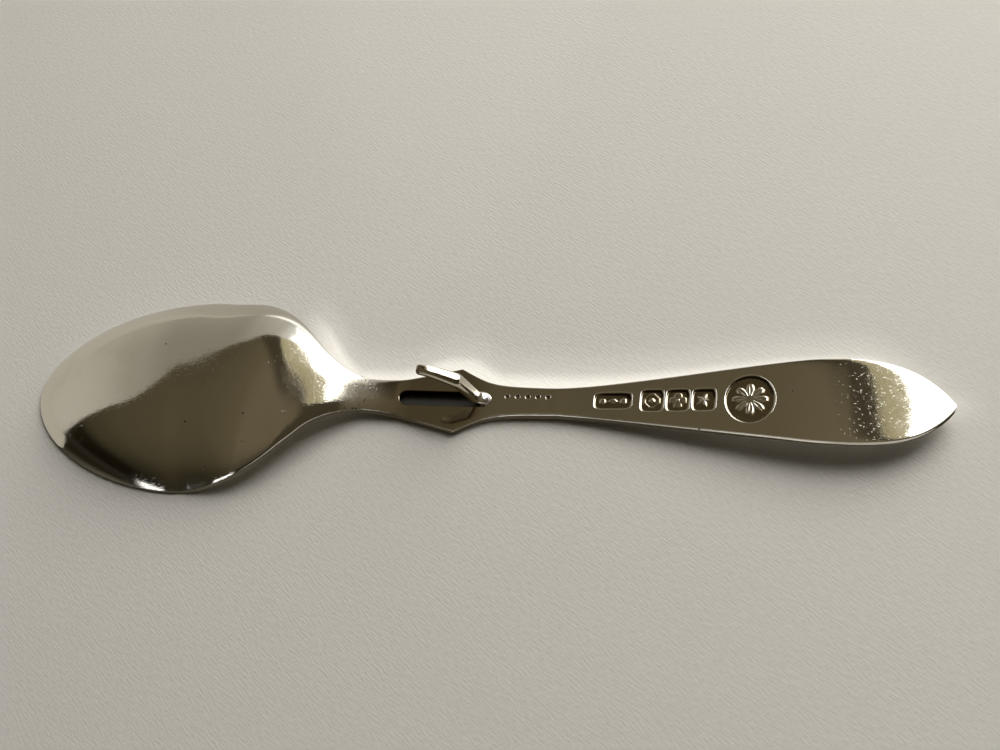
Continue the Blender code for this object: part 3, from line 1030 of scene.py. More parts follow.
@dataclass
class Bowl:
    """The dished bowl: a back and a hollow, side by side, joined by a flat rim.

    The tip's powers shape its width, the root of that, and its height.
    """

    neck: Neck
    tip_x: float = -0.0775
    length: float = 0.0610
    tip_to_widest: float = 0.0300
    tip_bluntness: float = 0.0017
    tip_powers: tuple[float, float, float] = (1.8, 1.88, 2.2)
    width: float = 0.0380
    height: float = 0.0105
    heel_lift: float = 0.0040
    neck_start: float = 0.65
    wall: float = 0.0010
    rim_face: float = 0.0011
    rim_side: float = 0.0006
    rim_fillet: float = 0.00025
    inner_fillet: float = 0.00012
    inner_round: float = 0.3
    heel_solid: float = 0.0060
    closing_power: int = 14
    closed: float = 0.08
    hollow_patina: float = 0.12
    dome: float = 1.0
    dome_swell: float = 0.37
    tip_steps: int = 52
    heel_steps: int = 70
    corner_steps: int = 4
    back_steps: int = 34
    hollow_steps: int = 26
    flare: ShareCurve = ShareCurve((
        (0.00, 1.000), (0.13, 0.984), (0.26, 0.938), (0.39, 0.850), (0.52, 0.695),
        (0.65, 0.460), (0.77, 0.220), (0.90, 0.060), (1.00, 0.000),
    ))
    crown: ShareCurve = ShareCurve((
        (0.00, 1.000), (0.13, 0.997), (0.26, 0.988), (0.39, 0.945), (0.52, 0.815),
        (0.65, 0.601), (0.74, 0.443), (0.84, 0.258), (0.935, 0.078), (1.00, 0.000),
    ), 0.05)
    lift: ShareCurve = ShareCurve((
        (0.00, 0.000), (0.07, 0.000), (0.16, 0.090), (0.26, 0.310), (0.39, 0.560),
        (0.52, 0.780), (0.63, 0.940), (0.71, 0.960), (0.79, 0.780), (0.90, 0.340), (1.00, 0.000),
    ))

    def tip_shares(self, share: float) -> tuple[float, float]:
        """Width and height between the blunt tip and the widest place.

        Args:
            share: How far from the tip to the widest place.

        Returns:
            The shares of the full width and height.
        """
        left = 1 - max(share, self.tip_bluntness)
        across, root, up = self.tip_powers
        return (1 - left ** across) ** (1 / root), 1 - left ** up

    def sizes(self, x: float) -> tuple[float, float, float]:
        """The bowl's sizes at a distance from its tip.

        Args:
            x: The distance.

        Returns:
            Half width, rim height and back height.
        """
        if x <= self.tip_to_widest:
            wide, high = self.tip_shares(x / self.tip_to_widest)
            return self.width / 2 * wide, 0.0, mix(self.rim_side, self.height, high)
        share = (x - self.tip_to_widest) / (self.length - self.tip_to_widest)
        half = mix(self.neck.width / 2, self.width / 2, self.flare(share))
        by_neck = ease((share - self.neck_start) / (1 - self.neck_start))
        lift = self.heel_lift * self.lift(share) + self.neck.lift * by_neck
        top = mix(self.neck.lift + self.neck.thickness, self.height, self.crown(share))
        return half, lift, top

    def back(self, x: float) -> list[Vector]:
        """The section from the right rim edge over the back to the left rim edge.

        Args:
            x: Distance from the bowl's tip.

        Returns:
            The section's points.
        """
        half, lift, top = self.sizes(x)
        share = ease((x - self.tip_to_widest) / (self.length - self.tip_to_widest))
        side = min(mix(self.rim_side, self.neck.side, share), top - lift)
        shape = (mix(self.dome, self.neck.fullness, share), mix(self.dome_swell, 0.0, share))
        section = PlateSection(half, lift, side, top - lift - side, *shape)
        outline = section.outline(self.rim_fillet, self.corner_steps, self.back_steps)
        if x == self.length:
            return [self.neck.leaned(self.tip_x + x, y, z) for y, z in outline]
        return [Vector((self.tip_x + x, y, z)) for y, z in outline]

    def hollow(self, x: float) -> list[Vector]:
        """The hollow's section under the one at x, from the left edge to the right one.

        Args:
            x: Distance of the back's section from the bowl's tip.

        Returns:
            The section's points.
        """
        place = mix(self.rim_face, self.length - self.heel_solid, x / self.length)
        if place <= self.tip_to_widest:
            wide, high = self.tip_shares((place - self.rim_face) / (self.tip_to_widest - self.rim_face))
            half, lift = (self.width / 2 - self.rim_face) * wide, 0.0
            depth = (self.height - self.wall) * high
        else:
            closing = max(math.sqrt(1 - (x / self.length) ** self.closing_power), self.closed)
            half, lift, top = self.sizes(place)
            half, depth = (half - self.rim_face) * closing, (top - self.wall - lift) * closing
        edge = min(self.inner_fillet, half / 4)
        inset = edge * self.inner_round
        ring = [(-half - edge, lift), (-half - inset, lift + inset)]
        for i in range(1, 2 * self.hollow_steps):
            turn = math.pi * i / (2 * self.hollow_steps)
            height = depth * arch(abs(math.cos(turn)), self.dome, self.dome_swell)
            ring.append((-half * math.cos(turn), lift + height))
        ring += [(-y, z) for y, z in reversed(ring[:2])]
        return [Vector((self.tip_x + place, y, z)) for y, z in ring]

    def stations(self) -> list[float]:
        """Places along the bowl, close together where its tip is blunt.

        Returns:
            Distances from the bowl's tip.
        """
        quarter = math.pi / 2
        near = [
            self.tip_to_widest * (1 - math.cos(quarter * i / self.tip_steps))
            for i in range(self.tip_steps)
        ]
        far = [
            mix(self.tip_to_widest, self.length, i / self.heel_steps)
            for i in range(self.heel_steps)
        ]
        return near + far + [self.length]

    def build(self, material: bpy.types.Material) -> bpy.types.Object:
        """Makes the bowl.

        Args:
            material: Its finish.

        Returns:
            The piece.
        """
        skin = Skin("spoon_bowl")
        loops = []
        for x in self.stations():
            back = skin.ring(self.back(x))
            loops.append((back, skin.ring(self.hollow(x), self.hollow_patina)))
        for (back, hollow), (next_back, next_hollow) in zip(loops, loops[1:]):
            skin.bridge(back + hollow, next_back + next_hollow)
        for flip, (back, hollow) in ((True, loops[0]), (False, loops[-1])):
            skin.close(back, flip)
            skin.close(hollow, flip)
            strip = (back[0], back[-1], hollow[0], hollow[-1])
            skin.faces.append(strip if not flip else strip[::-1])
        piece = dressed(skin.build(), material)
        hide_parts("bowl")
        return piece


class Motif(Enum):
    """What a sunk panel holds: plain ornament of a common kind, or nothing in a dent."""

    ROSETTE = "rosette"
    LOZENGE = "lozenge"
    QUATREFOIL = "quatrefoil"
    STAR = "star"
    BEADS = "beads"
    DENT = "dent"

    def relief(self, u: float, v: float) -> float:
        """The ornament's height.

        Args:
            u: Place along the spoon, in half widths of the panel.
            v: Place across the spoon, in half widths of the panel.

        Returns:
            The height, from 0 on the panel's floor to about 1.
        """
        carve = {
            Motif.ROSETTE: self.rosette,
            Motif.LOZENGE: self.lozenge,
            Motif.QUATREFOIL: self.quatrefoil,
            Motif.STAR: self.star,
            Motif.BEADS: self.beads,
        }.get(self)
        return carve(u, v) if carve else 0.0

    @staticmethod
    def rosette(u: float, v: float) -> float:
        """Eight veined petals round a boss, in a ring of beads.

        Args:
            u: Place along the spoon.
            v: Place across the spoon.

        Returns:
            The height.
        """
        radius, turn = math.hypot(u, v), math.atan2(v, u)
        lobe = abs(math.cos(4 * turn))
        reach = 0.72 * (0.50 + 0.50 * lobe ** 0.7)
        petal = ease((reach - radius) / 0.16) * (0.45 + 0.55 * lobe ** 0.5)
        vein = 0.30 * ridge(lobe, 1.0, 0.03) * ease(radius / 0.4)
        bead = 0.42 * ridge(radius, 0.86, 0.045) * (0.6 + 0.4 * math.cos(36 * turn))
        return max(petal - vein, 1.15 * boss(radius, 0.20), bead)

    @staticmethod
    def lozenge(u: float, v: float) -> float:
        """A lozenge in a frame of the same shape.

        Args:
            u: Place along the spoon.
            v: Place across the spoon.

        Returns:
            The height.
        """
        reach = abs(u) + abs(v)
        return max(ease((0.42 - reach) / 0.30), 0.7 * ridge(reach, 0.74, 0.08))

    @staticmethod
    def quatrefoil(u: float, v: float) -> float:
        """Four round leaves about a boss.

        Args:
            u: Place along the spoon.
            v: Place across the spoon.

        Returns:
            The height.
        """
        middles = ((0.40, 0.0), (-0.40, 0.0), (0.0, 0.40), (0.0, -0.40))
        leaf = boss(min(math.hypot(u - a, v - b) for a, b in middles), 0.34)
        return max(0.85 * leaf, boss(math.hypot(u, v), 0.20))

    @staticmethod
    def star(u: float, v: float) -> float:
        """A star with five sloped points.

        Args:
            u: Place along the spoon.
            v: Place across the spoon.

        Returns:
            The height.
        """
        fifth = 2 * math.pi / 5
        part = (math.atan2(v, u) + fifth / 2) % fifth - fifth / 2
        edge = 0.80 / (1 + 1.9 * abs(part))
        return ease((edge - math.hypot(u, v)) / 0.42)

    @staticmethod
    def beads(u: float, v: float) -> float:
        """Two beads with a lozenge between them.

        Args:
            u: Place along the spoon.
            v: Place across the spoon.

        Returns:
            The height.
        """
        pair = [boss(math.hypot(u - middle, v), 0.38) for middle in (-1.1, 1.1)]
        reach = abs(u) * 0.8 + abs(v)
        return max(*pair, ease((0.55 - reach) / 0.30))


@dataclass
class SunkPanel:
    """A panel struck into the handle's back: a raised lip, a sloped wall, a floor and its ornament.

    The profile gives pairs of growth, in millimetres of a full lip, and rise, in depths. The lee is the
    direction towards the walls that get painted shade, and the ornament has lost the rubbed share of
    its patina and painted shade.
    """

    name: str
    motif: Motif
    place: float
    length: float
    width: float
    squareness: float = 1.0
    offset: float = 0.0
    depth: float = 0.00025
    lip: float = 1.0
    relief_height: float = 0.00018
    tarnish: float = 0.60
    soot_and_shade: float = 1.0
    shade_reach: float = 0.00050
    lee: tuple[float, float] = (0.35, 0.94)
    lee_width: float = 0.7
    shade_edge: float = 1.25
    under_patina: float = 0.3
    rubbed: float = 0.9
    pocket_growth: float = 0.05
    plug_growth: float = 0.07
    clearance: float = 0.00003
    around: int = 96
    floor_rings: int = 26
    profile: Pairs = (
        (0.12, -0.05), (0.08, 0.04), (0.03, 0.06), (-0.02, -0.01), (-0.08, -0.20), (-0.15, -0.52),
        (-0.22, -0.84), (-0.27, -0.97), (-0.32, -1.00),
    )

    def outline(self, growth: float) -> Outline:
        """The panel's outline on the back, grown outward by a length.

        Args:
            growth: How far outside the edge; below 0 is inside.

        Returns:
            Pairs of distance from the neck joint and y.
        """
        points = []
        for i in range(self.around):
            turn = 2 * math.pi * (i + 0.5) / self.around
            along, across = math.cos(turn), math.sin(turn)
            x = (self.length / 2 + growth) * math.copysign(abs(along) ** self.squareness, along)
            y = (self.width / 2 + growth) * math.copysign(abs(across) ** self.squareness, across)
            points.append((self.place + x, self.offset + y))
        return points

    def stain(self, x: float, y: float, sunk: float, inset: float) -> float:
        """Patina at a point, with painted shade on the walls that face the bowl's side.

        Args:
            x: Distance from the neck joint.
            y: Distance from the middle line.
            sunk: Share of the full depth.
            inset: Distance from the foot of the wall.

        Returns:
            The patina with its painted shade, 0 to 1.
        """
        along, across = (x - self.place) / self.length, (y - self.offset) / self.width
        side = 2 * (self.lee[0] * along + self.lee[1] * across)
        near_wall = ease(self.shade_edge * (1 - inset / self.shade_reach))
        # Painted shade on the lee walls and on the floor at their foot.
        shaded_wall = ease(side / self.lee_width) * near_wall * ease(2 * sunk)
        return max(self.tarnish * sunk ** 3, self.soot_and_shade * shaded_wall)

    def build(self, handle: "Handle", material: bpy.types.Material) -> bpy.types.Object:
        """Makes the panel as a closed plug that fills its pocket in the handle.

        Args:
            handle: The handle that carries it.
            material: Its finish.

        Returns:
            The piece.
        """
        skin = Skin(self.name)
        unit = MILLIMETRE * self.lip
        under = handle.pocket_depth - self.clearance

        def laid(points: Outline, drop: Callable[[float, float], float], patina_and_shade: float) -> list[int]:
            """Lays a ring of points on the back, each lowered or raised by its own amount."""
            raised = [handle.on_back(x, y, drop(x, y)) for x, y in points]
            return skin.ring(raised, patina_and_shade)

        rings = [laid(self.outline(self.plug_growth * unit), lambda x, y: -under, self.under_patina)]
        for growth, rise in self.profile:
            points = self.outline(growth * unit)
            ring = laid(points, lambda x, y, r=rise: r * self.depth, 0.0)
            for index, (x, y) in zip(ring, points):
                skin.patina_and_shade[index] = self.stain(x, y, max(-rise, 0.0), 0.0)
            rings.append(ring)
        edge = self.outline(self.profile[-1][0] * unit)
        half = self.width / 2

        def carved(x: float, y: float) -> float:
            """Height of the floor with its ornament."""
            raised = self.motif.relief((x - self.place) / half, (y - self.offset) / half)
            return raised * self.relief_height - self.depth

        for k in range(1, self.floor_rings):
            share = 1 - k / self.floor_rings
            points = [
                (self.place + (x - self.place) * share, self.offset + (y - self.offset) * share)
                for x, y in edge
            ]
            ring = laid(points, carved, 0.0)
            for index, (x, y) in zip(ring, points):
                raised = ease((carved(x, y) + self.depth) / self.relief_height)
                stain = self.stain(x, y, 1.0, (1 - share) * half)
                skin.patina_and_shade[index] = stain * (1 - self.rubbed * raised)
            rings.append(ring)
        skin.loft(rings)
        return dressed(skin.build(SOFT), material)


@dataclass
class Handle:
    """The handle: neck, slotted shank with its corners, narrow stem, long swell and pointed end."""

    neck: Neck
    shank_length: float = 0.0160
    stem_length: float = 0.077999
    shoulder_width: float = 0.0120
    stem_width: float = 0.0051
    widest: float = 0.0151
    shank_thickness: float = 0.0015
    stem_thickness: float = 0.0018
    tip_thickness: float = 0.0010
    crown: float = 0.00035
    rise: float = 0.0039
    tip_drop: float = 0.001118
    tip_bend: float = 1.68
    fillet: float = 0.00025
    slot_start: float = 0.0060
    slot_length: float = 0.0147
    slot_width: float = 0.0027
    slot_bevel: float = 0.00011
    pocket_depth: float = 0.00045
    cutter_margin: float = 0.0005
    slack: float = 0.00001
    waist_share: float = 0.215
    swell_share: float = 0.585
    thinning: float = 0.7
    fullness: float = 0.15
    shank_steps: int = 48
    fall_steps: int = 40
    fall_crowding: float = 1.3
    stem_steps: int = 110
    corner_steps: int = 4
    back_steps: int = 20
    slot_arc_steps: int = 32
    slot_side_steps: int = 12
    shank_flare: ShareCurve = ShareCurve((
        (0.00, 0.000), (0.10, 0.000), (0.31, 0.080), (0.56, 0.370), (0.81, 0.725), (1.00, 1.000),
    ))
    shoulder_fall: ShareCurve = ShareCurve((
        (0.00, 1.000), (0.06, 0.840), (0.15, 0.595), (0.30, 0.270), (0.42, 0.135), (0.54, 0.067),
        (0.77, 0.015), (1.00, 0.000),
    ), 0.04)
    swell: ShareCurve = ShareCurve((
        (0.00, 0.000), (0.08, 0.050), (0.25, 0.220), (0.42, 0.420), (0.58, 0.615), (0.75, 0.815),
        (0.90, 0.970), (1.00, 1.000),
    ), 0.04)
    tip_arch: ShareCurve = ShareCurve((
        (0.00, 1.000), (0.17, 0.980), (0.30, 0.948), (0.42, 0.900), (0.55, 0.815), (0.68, 0.685),
        (0.80, 0.515), (0.90, 0.325), (0.965, 0.170), (1.00, 0.060),
    ), 0.04)
    front: ShareCurve = ShareCurve((
        (0.330, 0.000), (0.395, 0.085), (0.436, 0.180), (0.521, 0.370), (0.606, 0.585),
        (0.691, 0.805), (0.777, 0.965), (0.835, 1.000),
    ), 0.05)
    droop_start: float = 0.835
    bevel: float = 0.000125
    bevel_depth: float = 0.00019
    neck_fade: float = 0.085
    lean_reach: float = 0.0035

    @property
    def length(self) -> float:
        """Length from the neck joint to the tip."""
        return self.shank_length + self.stem_length

    @property
    def waist(self) -> float:
        """Place of the narrowest part of the stem."""
        return self.shank_length + self.stem_length * self.waist_share

    @property
    def swell_end(self) -> float:
        """Place of the widest part of the handle."""
        return self.waist + self.stem_length * self.swell_share

    def half_width(self, x: float) -> float:
        """Half the handle's width at a distance from the neck joint.

        Args:
            x: The distance.

        Returns:
            Half the width.
        """
        shoulder = self.shoulder_width / 2
        if x <= self.shank_length:
            return mix(self.neck.width / 2, shoulder, self.shank_flare(x / self.shank_length))
        if x <= self.waist:
            share = (x - self.shank_length) / (self.waist - self.shank_length)
            return mix(self.stem_width / 2, shoulder, self.shoulder_fall(share))
        if x <= self.swell_end:
            share = (x - self.waist) / (self.swell_end - self.waist)
            return mix(self.stem_width / 2, self.widest / 2, self.swell(share))
        return self.widest / 2 * self.tip_arch((x - self.swell_end) / (self.length - self.swell_end))

    def section(self, x: float) -> PlateSection:
        """The section at a distance from the neck joint.

        Args:
            x: The distance.

        Returns:
            The section.
        """
        share = x / self.length
        fade = ramp(share / self.neck_fade)
        droop = max(share - self.droop_start, 0.0) / (1 - self.droop_start)
        low = mix(self.neck.lift, 0.0, fade) + self.rise * self.front(share)
        low -= self.tip_drop * droop ** self.tip_bend
        if x <= self.shank_length:
            thickness = mix(self.neck.thickness, self.shank_thickness, fade)
        elif x <= self.waist:
            growth = ease((x - self.shank_length) / (self.waist - self.shank_length))
            thickness = mix(self.shank_thickness, self.stem_thickness, growth)
        else:
            thin = (x - self.waist) / (self.length - self.waist)
            thickness = mix(self.stem_thickness, self.tip_thickness, thin ** self.thinning)
        crown = mix(self.neck.thickness - self.neck.side, self.crown, fade)
        fullness = mix(self.neck.fullness, self.fullness, fade)
        bevel = (mix(0.0, self.bevel, fade), self.bevel_depth)
        return PlateSection(self.half_width(x), low, thickness - crown, crown, fullness, 0.0, *bevel)

    def on_back(self, x: float, y: float, rise: float = 0.0) -> Vector:
        """A point on the back.

        Args:
            x: Distance from the neck joint.
            y: Distance from the middle.
            rise: Height above the back.

        Returns:
            The point in the spoon's frame.
        """
        return Vector((self.neck.joint_x + x, y, self.section(x).height(y) + rise))

    def stations(self) -> list[float]:
        """Places along the handle, close together at the corners and at the tip.

        Returns:
            Distances from the neck joint.
        """
        start = self.neck.gap * math.hypot(1.0, self.neck.slope)
        shank = [mix(start, self.shank_length, i / self.shank_steps) for i in range(self.shank_steps)]
        fall = [
            mix(self.shank_length, self.waist, (i / self.fall_steps) ** self.fall_crowding)
            for i in range(self.fall_steps)
        ]
        quarter = math.pi / 2
        stem = [
            mix(self.waist, self.length, math.sin(quarter * i / self.stem_steps))
            for i in range(self.stem_steps + 1)
        ]
        return shank + fall + stem

    def slot_cutter(self) -> bpy.types.Object:
        """A prism with one round end, that opens out at the top for the slot's bevelled edge.

        Returns:
            The cutter.
        """
        skin = Skin("slot_cutter")
        radius = self.slot_width / 2
        left = self.slot_start + radius
        right = self.slot_start + self.slot_length
        over = self.cutter_margin
        rings = []
        for growth, rise in ((0.0, None), (0.0, -self.slot_bevel), (self.slot_bevel + over, over)):
            half = radius + growth
            flat = arc((left, 0.0), half, math.pi / 2, 3 * math.pi / 2, self.slot_arc_steps)
            places = [
                mix(left, right + growth, k / self.slot_side_steps)
                for k in range(self.slot_side_steps + 1)
            ]
            flat += [(x, -half) for x in places] + [(x, half) for x in reversed(places)]
            if rise is None:
                rings.append(skin.ring(Vector((self.neck.joint_x + x, y, -over)) for x, y in flat))
            else:
                rings.append(skin.ring(self.on_back(x, y, rise) for x, y in flat))
        skin.loft(rings)
        return skin.build()

    def pocket_cutter(self, panel: SunkPanel) -> bpy.types.Object:
        """A prism along the back that makes room for a panel's plug.

        Args:
            panel: The panel.

        Returns:
            The cutter.
        """
        skin = Skin(panel.name + "_cutter")
        outline = panel.outline(panel.pocket_growth * MILLIMETRE * panel.lip)
        low = skin.ring(self.on_back(x, y, -self.pocket_depth) for x, y in outline)
        high = skin.ring(self.on_back(x, y, self.pocket_depth) for x, y in outline)
        skin.loft([low, high])
        return skin.build()

    def ring(self, x: float, share: float) -> list[Vector]:
        """The handle's surface at a distance from the neck joint.

        Args:
            x: The distance.
            share: How much the ring leans with the joint, 0 to 1.

        Returns:
            The ring's points.
        """
        shape = (self.fillet, self.corner_steps, self.back_steps)
        upright = self.section(x).outline(*shape)
        middle = self.neck.lift + self.neck.thickness / 2
        points = []
        for index, (y, z) in enumerate(upright):
            lean = share * self.neck.slope * (z - middle)
            if lean:
                y, z = self.section(x + lean).outline(*shape)[index]
            points.append(Vector((self.neck.joint_x + x + lean, y, z)))
        return points

    def build(self, panels: Sequence[SunkPanel], material: bpy.types.Material) -> bpy.types.Object:
        """Makes the handle with its slot and with a pocket for each panel.

        Args:
            panels: The panels on its back.
            material: Its finish.

        Returns:
            The piece.
        """
        skin = Skin("spoon_handle")
        rings = []
        places = self.stations()
        for x in places:
            rings.append(skin.ring(self.ring(x, max(1 - (x - places[0]) / self.lean_reach, 0.0))))
        skin.loft(rings)
        piece = skin.build()
        self.carve(piece, [self.slot_cutter(), *(self.pocket_cutter(panel) for panel in panels)])
        self.tarnish_and_shade_slot(piece)
        dressed(piece, material)
        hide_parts("handle")
        return piece

    def tarnish_and_shade_slot(self, piece: bpy.types.Object) -> None:
        """Marks the slot's walls as dark with old tarnish and painted shade, up to their bevelled edge.

        Args:
            piece: The handle, with its slot cut.
        """
        left = self.neck.joint_x + self.slot_start
        right = left + self.slot_length
        half = self.slot_width / 2
        slack = self.slack
        stain = piece.data.attributes["patina_and_shade"]
        # Old tarnish and painted shade: the slot's walls go fully dark.
        for vertex in piece.data.vertices:
            x, y, z = vertex.co
            within = left - slack <= x <= right + slack and abs(y) <= half + slack
            if within and z < self.section(x - self.neck.joint_x).height(y) - slack:
                stain.data[vertex.index].value = 1.0

    def carve(self, piece: bpy.types.Object, cutters: Sequence[bpy.types.Object]) -> None:
        """Takes the cutters' shapes out of a piece and removes the cutters.

        Args:
            piece: The piece to cut.
            cutters: Closed meshes that don't meet each other.
        """
        for cutter in cutters:
            cut = piece.modifiers.new(cutter.name, "BOOLEAN")
            cut.operation = "DIFFERENCE"
            cut.solver = "EXACT"
            cut.object = cutter
        bpy.context.view_layer.update()
        graph = bpy.context.evaluated_depsgraph_get()
        carved = bpy.data.meshes.new_from_object(piece.evaluated_get(graph))
        piece.modifiers.clear()
        piece.data = carved
        carved.shade_smooth()
        carved.set_sharp_from_angle(angle=math.radians(CRISP))
        for cutter in cutters:
            bpy.data.objects.remove(cutter, do_unlink=True)


@dataclass
class Hook:
    """The strap hook: a foot in the slot, a leg that leans to the bowl, and a finger over the slot."""

    foot_x: float = 0.0032
    foot_depth: float = 0.0015
    thickness: float = 0.0014
    leg: float = 0.0066
    finger: float = 0.00629
    foot_width: float = 0.0021
    width: float = 0.0024
    end_width: float = 0.0016
    bend: float = 0.0016
    fillet: float = 0.00030
    crown: float = 0.00085
    widest_corner: float = 0.72
    highest_crown: float = 0.62
    highest_fillet: float = 0.3
    leg_angle: float = math.radians(67.5)
    finger_angle: float = math.radians(32.5)
    end_angle: float = math.radians(13.0)
    curl: float = 0.0026
    underside_shade: float = 0.80
    crease: float = 50.0
    bend_steps: int = 14
    run_steps: int = 12
    end_steps: int = 10
    corner_steps: int = 8
    end_slimming: float = 0.55

    def path(self) -> list[tuple[float, float, float]]:
        """Middle line of the strap: three straight runs, a bend between each two, and a soft curl.

        Returns:
            Distance behind the foot, height and angle of each point, foot first.
        """
        runs = (
            (self.foot_depth, math.pi / 2),
            (self.leg, self.leg_angle),
            (self.finger, self.finger_angle),
        )
        x, z = 0.0, 0.0
        line = [(x, z, math.pi / 2)]
        for index, (run, angle) in enumerate(runs):
            following = runs[index + 1][1] if index + 1 < len(runs) else angle
            before = self.bend * math.tan((runs[index - 1][1] - angle) / 2) if index else 0.0
            after = self.bend * math.tan((angle - following) / 2) if following != angle else self.curl
            straight = run - before - after
            for _ in range(self.run_steps):
                x -= straight / self.run_steps * math.cos(angle)
                z += straight / self.run_steps * math.sin(angle)
                line.append((x, z, angle))
            chord = 2 * self.bend * math.sin((angle - following) / 2 / self.bend_steps)
            # Nothing follows the last run, so it ends in its curl.
            if following == angle:
                following, chord = self.end_angle, self.curl / self.bend_steps
            for i in range(self.bend_steps):
                first = mix(angle, following, i / self.bend_steps)
                second = mix(angle, following, (i + 1) / self.bend_steps)
                x -= chord * math.cos((first + second) / 2)
                z += chord * math.sin((first + second) / 2)
                line.append((x, z, second))
        return line

    def ring(self, x: float, z: float, angle: float, half: float, thickness: float) -> list[Vector]:
        """A section of the strap with rounded corners, square to its path.

        Args:
            x: Distance of its middle behind the foot.
            z: Height of its middle.
            angle: The path's angle there.
            half: Half the strap's width.
            thickness: The strap's thickness.

        Returns:
            The section's points.
        """
        outline: Outline = []
        for corner, (side, face) in enumerate(((1, 1), (-1, 1), (-1, -1), (1, -1))):
            corner_fit = (self.crown, thickness * self.highest_crown)
            if face < 0:
                corner_fit = (self.fillet, thickness * self.highest_fillet)
            radius = min(half * self.widest_corner, *corner_fit)
            centre = (side * (half - radius), face * (thickness / 2 - radius))
            start = corner * math.pi / 2
            outline += arc(centre, radius, start, start + math.pi / 2, self.corner_steps)
        back = Vector((math.sin(angle), 0.0, math.cos(angle)))
        return [Vector((self.foot_x + x, y, z)) + back * rise for y, rise in outline]

    def build(self, material: bpy.types.Material) -> bpy.types.Object:
        """Makes the hook.

        Args:
            material: Its finish.

        Returns:
            The piece.
        """
        line = self.path()
        runs = [0.0]
        for (x0, z0, _), (x1, z1, _) in zip(line, line[1:]):
            runs.append(runs[-1] + math.hypot(x1 - x0, z1 - z0))
        bend_at = self.foot_depth + self.leg
        rows = []
        for (x, z, angle), run in zip(line, runs):
            if run <= bend_at:
                share = ease(max(run - self.foot_depth, 0.0) / self.leg)
                half = mix(self.foot_width, self.width, share) / 2
            else:
                half = mix(self.width, self.end_width, (run - bend_at) / (runs[-1] - bend_at)) / 2
            rows.append((x, z, angle, half, self.thickness))
        x, z, angle, half, thickness = rows[-1]
        for i in range(1, self.end_steps):
            turn = math.pi / 2 * i / self.end_steps
            reach = self.thickness / 2 * math.sin(turn)
            slim = 1 - self.end_slimming * (1 - math.cos(turn))
            end = (x - reach * math.cos(angle), z + reach * math.sin(angle))
            rows.append((*end, angle, half * slim, thickness * slim))
        skin = Skin("jar_hook")
        rings = [skin.ring(self.ring(*row)) for row in rows]
        # Painted shade: the underside half of each ring is darkened.
        for ring in rings:
            for index in ring[len(ring) // 2:]:
                skin.patina_and_shade[index] = self.underside_shade
        skin.loft(rings)
        piece = dressed(skin.build(self.crease), material)
        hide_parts("hook")
        return piece


@dataclass
class HookSolder:
    """The bead of solder in the corner behind the hook."""

    hook: Hook
    floor: float = 0.0015
    reach: float = 0.0014
    width: float = 0.0023
    sink: float = 0.00025
    end_share: float = 0.18
    taper: float = 0.8
    lumps: int = 5
    lump_height: float = 0.02
    bulge: float = 0.9
    along_steps: int = 16
    around_steps: int = 14

    def build(self, material: bpy.types.Material) -> bpy.types.Object:
        """Makes the bead, round outside, let into the hook and the shank.

        Args:
            material: Its finish.

        Returns:
            The piece.
        """
        corner_x = self.hook.foot_x + self.hook.thickness / 2
        lean = self.hook.leg_angle
        skin = Skin("hook_bead")
        rings = []
        for i in range(self.along_steps + 1):
            turn = mix(-math.pi / 2, math.pi / 2, i / self.along_steps)
            across = self.width / 2 * math.sin(turn)
            size = self.reach * mix(self.end_share, 1.0, math.cos(turn) ** self.taper)
            size *= 1 + self.lump_height * math.sin(self.lumps * turn)
            rise = size * math.sin(lean)
            points = [Vector((corner_x - self.sink, across, self.floor - self.sink))]
            for k in range(self.around_steps + 1):
                angle = math.pi / 2 * k / self.around_steps
                fall, climb = math.cos(angle) ** self.bulge, math.sin(angle) ** self.bulge
                x = corner_x + size * fall - size * math.cos(lean) * climb
                x -= self.sink * (k == self.around_steps)
                z = self.floor + rise * climb - self.sink * (k == 0)
                points.append(Vector((x, across, z)))
            rings.append(skin.ring(points))
        skin.loft(rings)
        piece = dressed(skin.build(SOFT), material)
        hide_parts("hook_solder")
        return piece


@dataclass
class Card:
    """A flat studio card over the spoon, which only polished metal mirrors."""

    name: str
    corners: Pairs
    height: float
    glow: GlowFinish

    def build(self) -> bpy.types.Object:
        """Makes the card as part of the stage.

        Returns:
            The card.
        """
        mesh = bpy.data.meshes.new(self.name)
        points = [(x, y, self.height) for x, y in self.corners]
        mesh.from_pydata(points, [], [tuple(range(len(points)))])
        mesh.materials.append(self.glow.material())
        card = bpy.data.objects.new(self.name, mesh)
        bpy.context.scene.collection.objects.link(card)
        card.visible_camera = False
        card.visible_diffuse = False
        card.visible_shadow = False
        card.visible_transmission = False
        card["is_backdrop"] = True
        return card


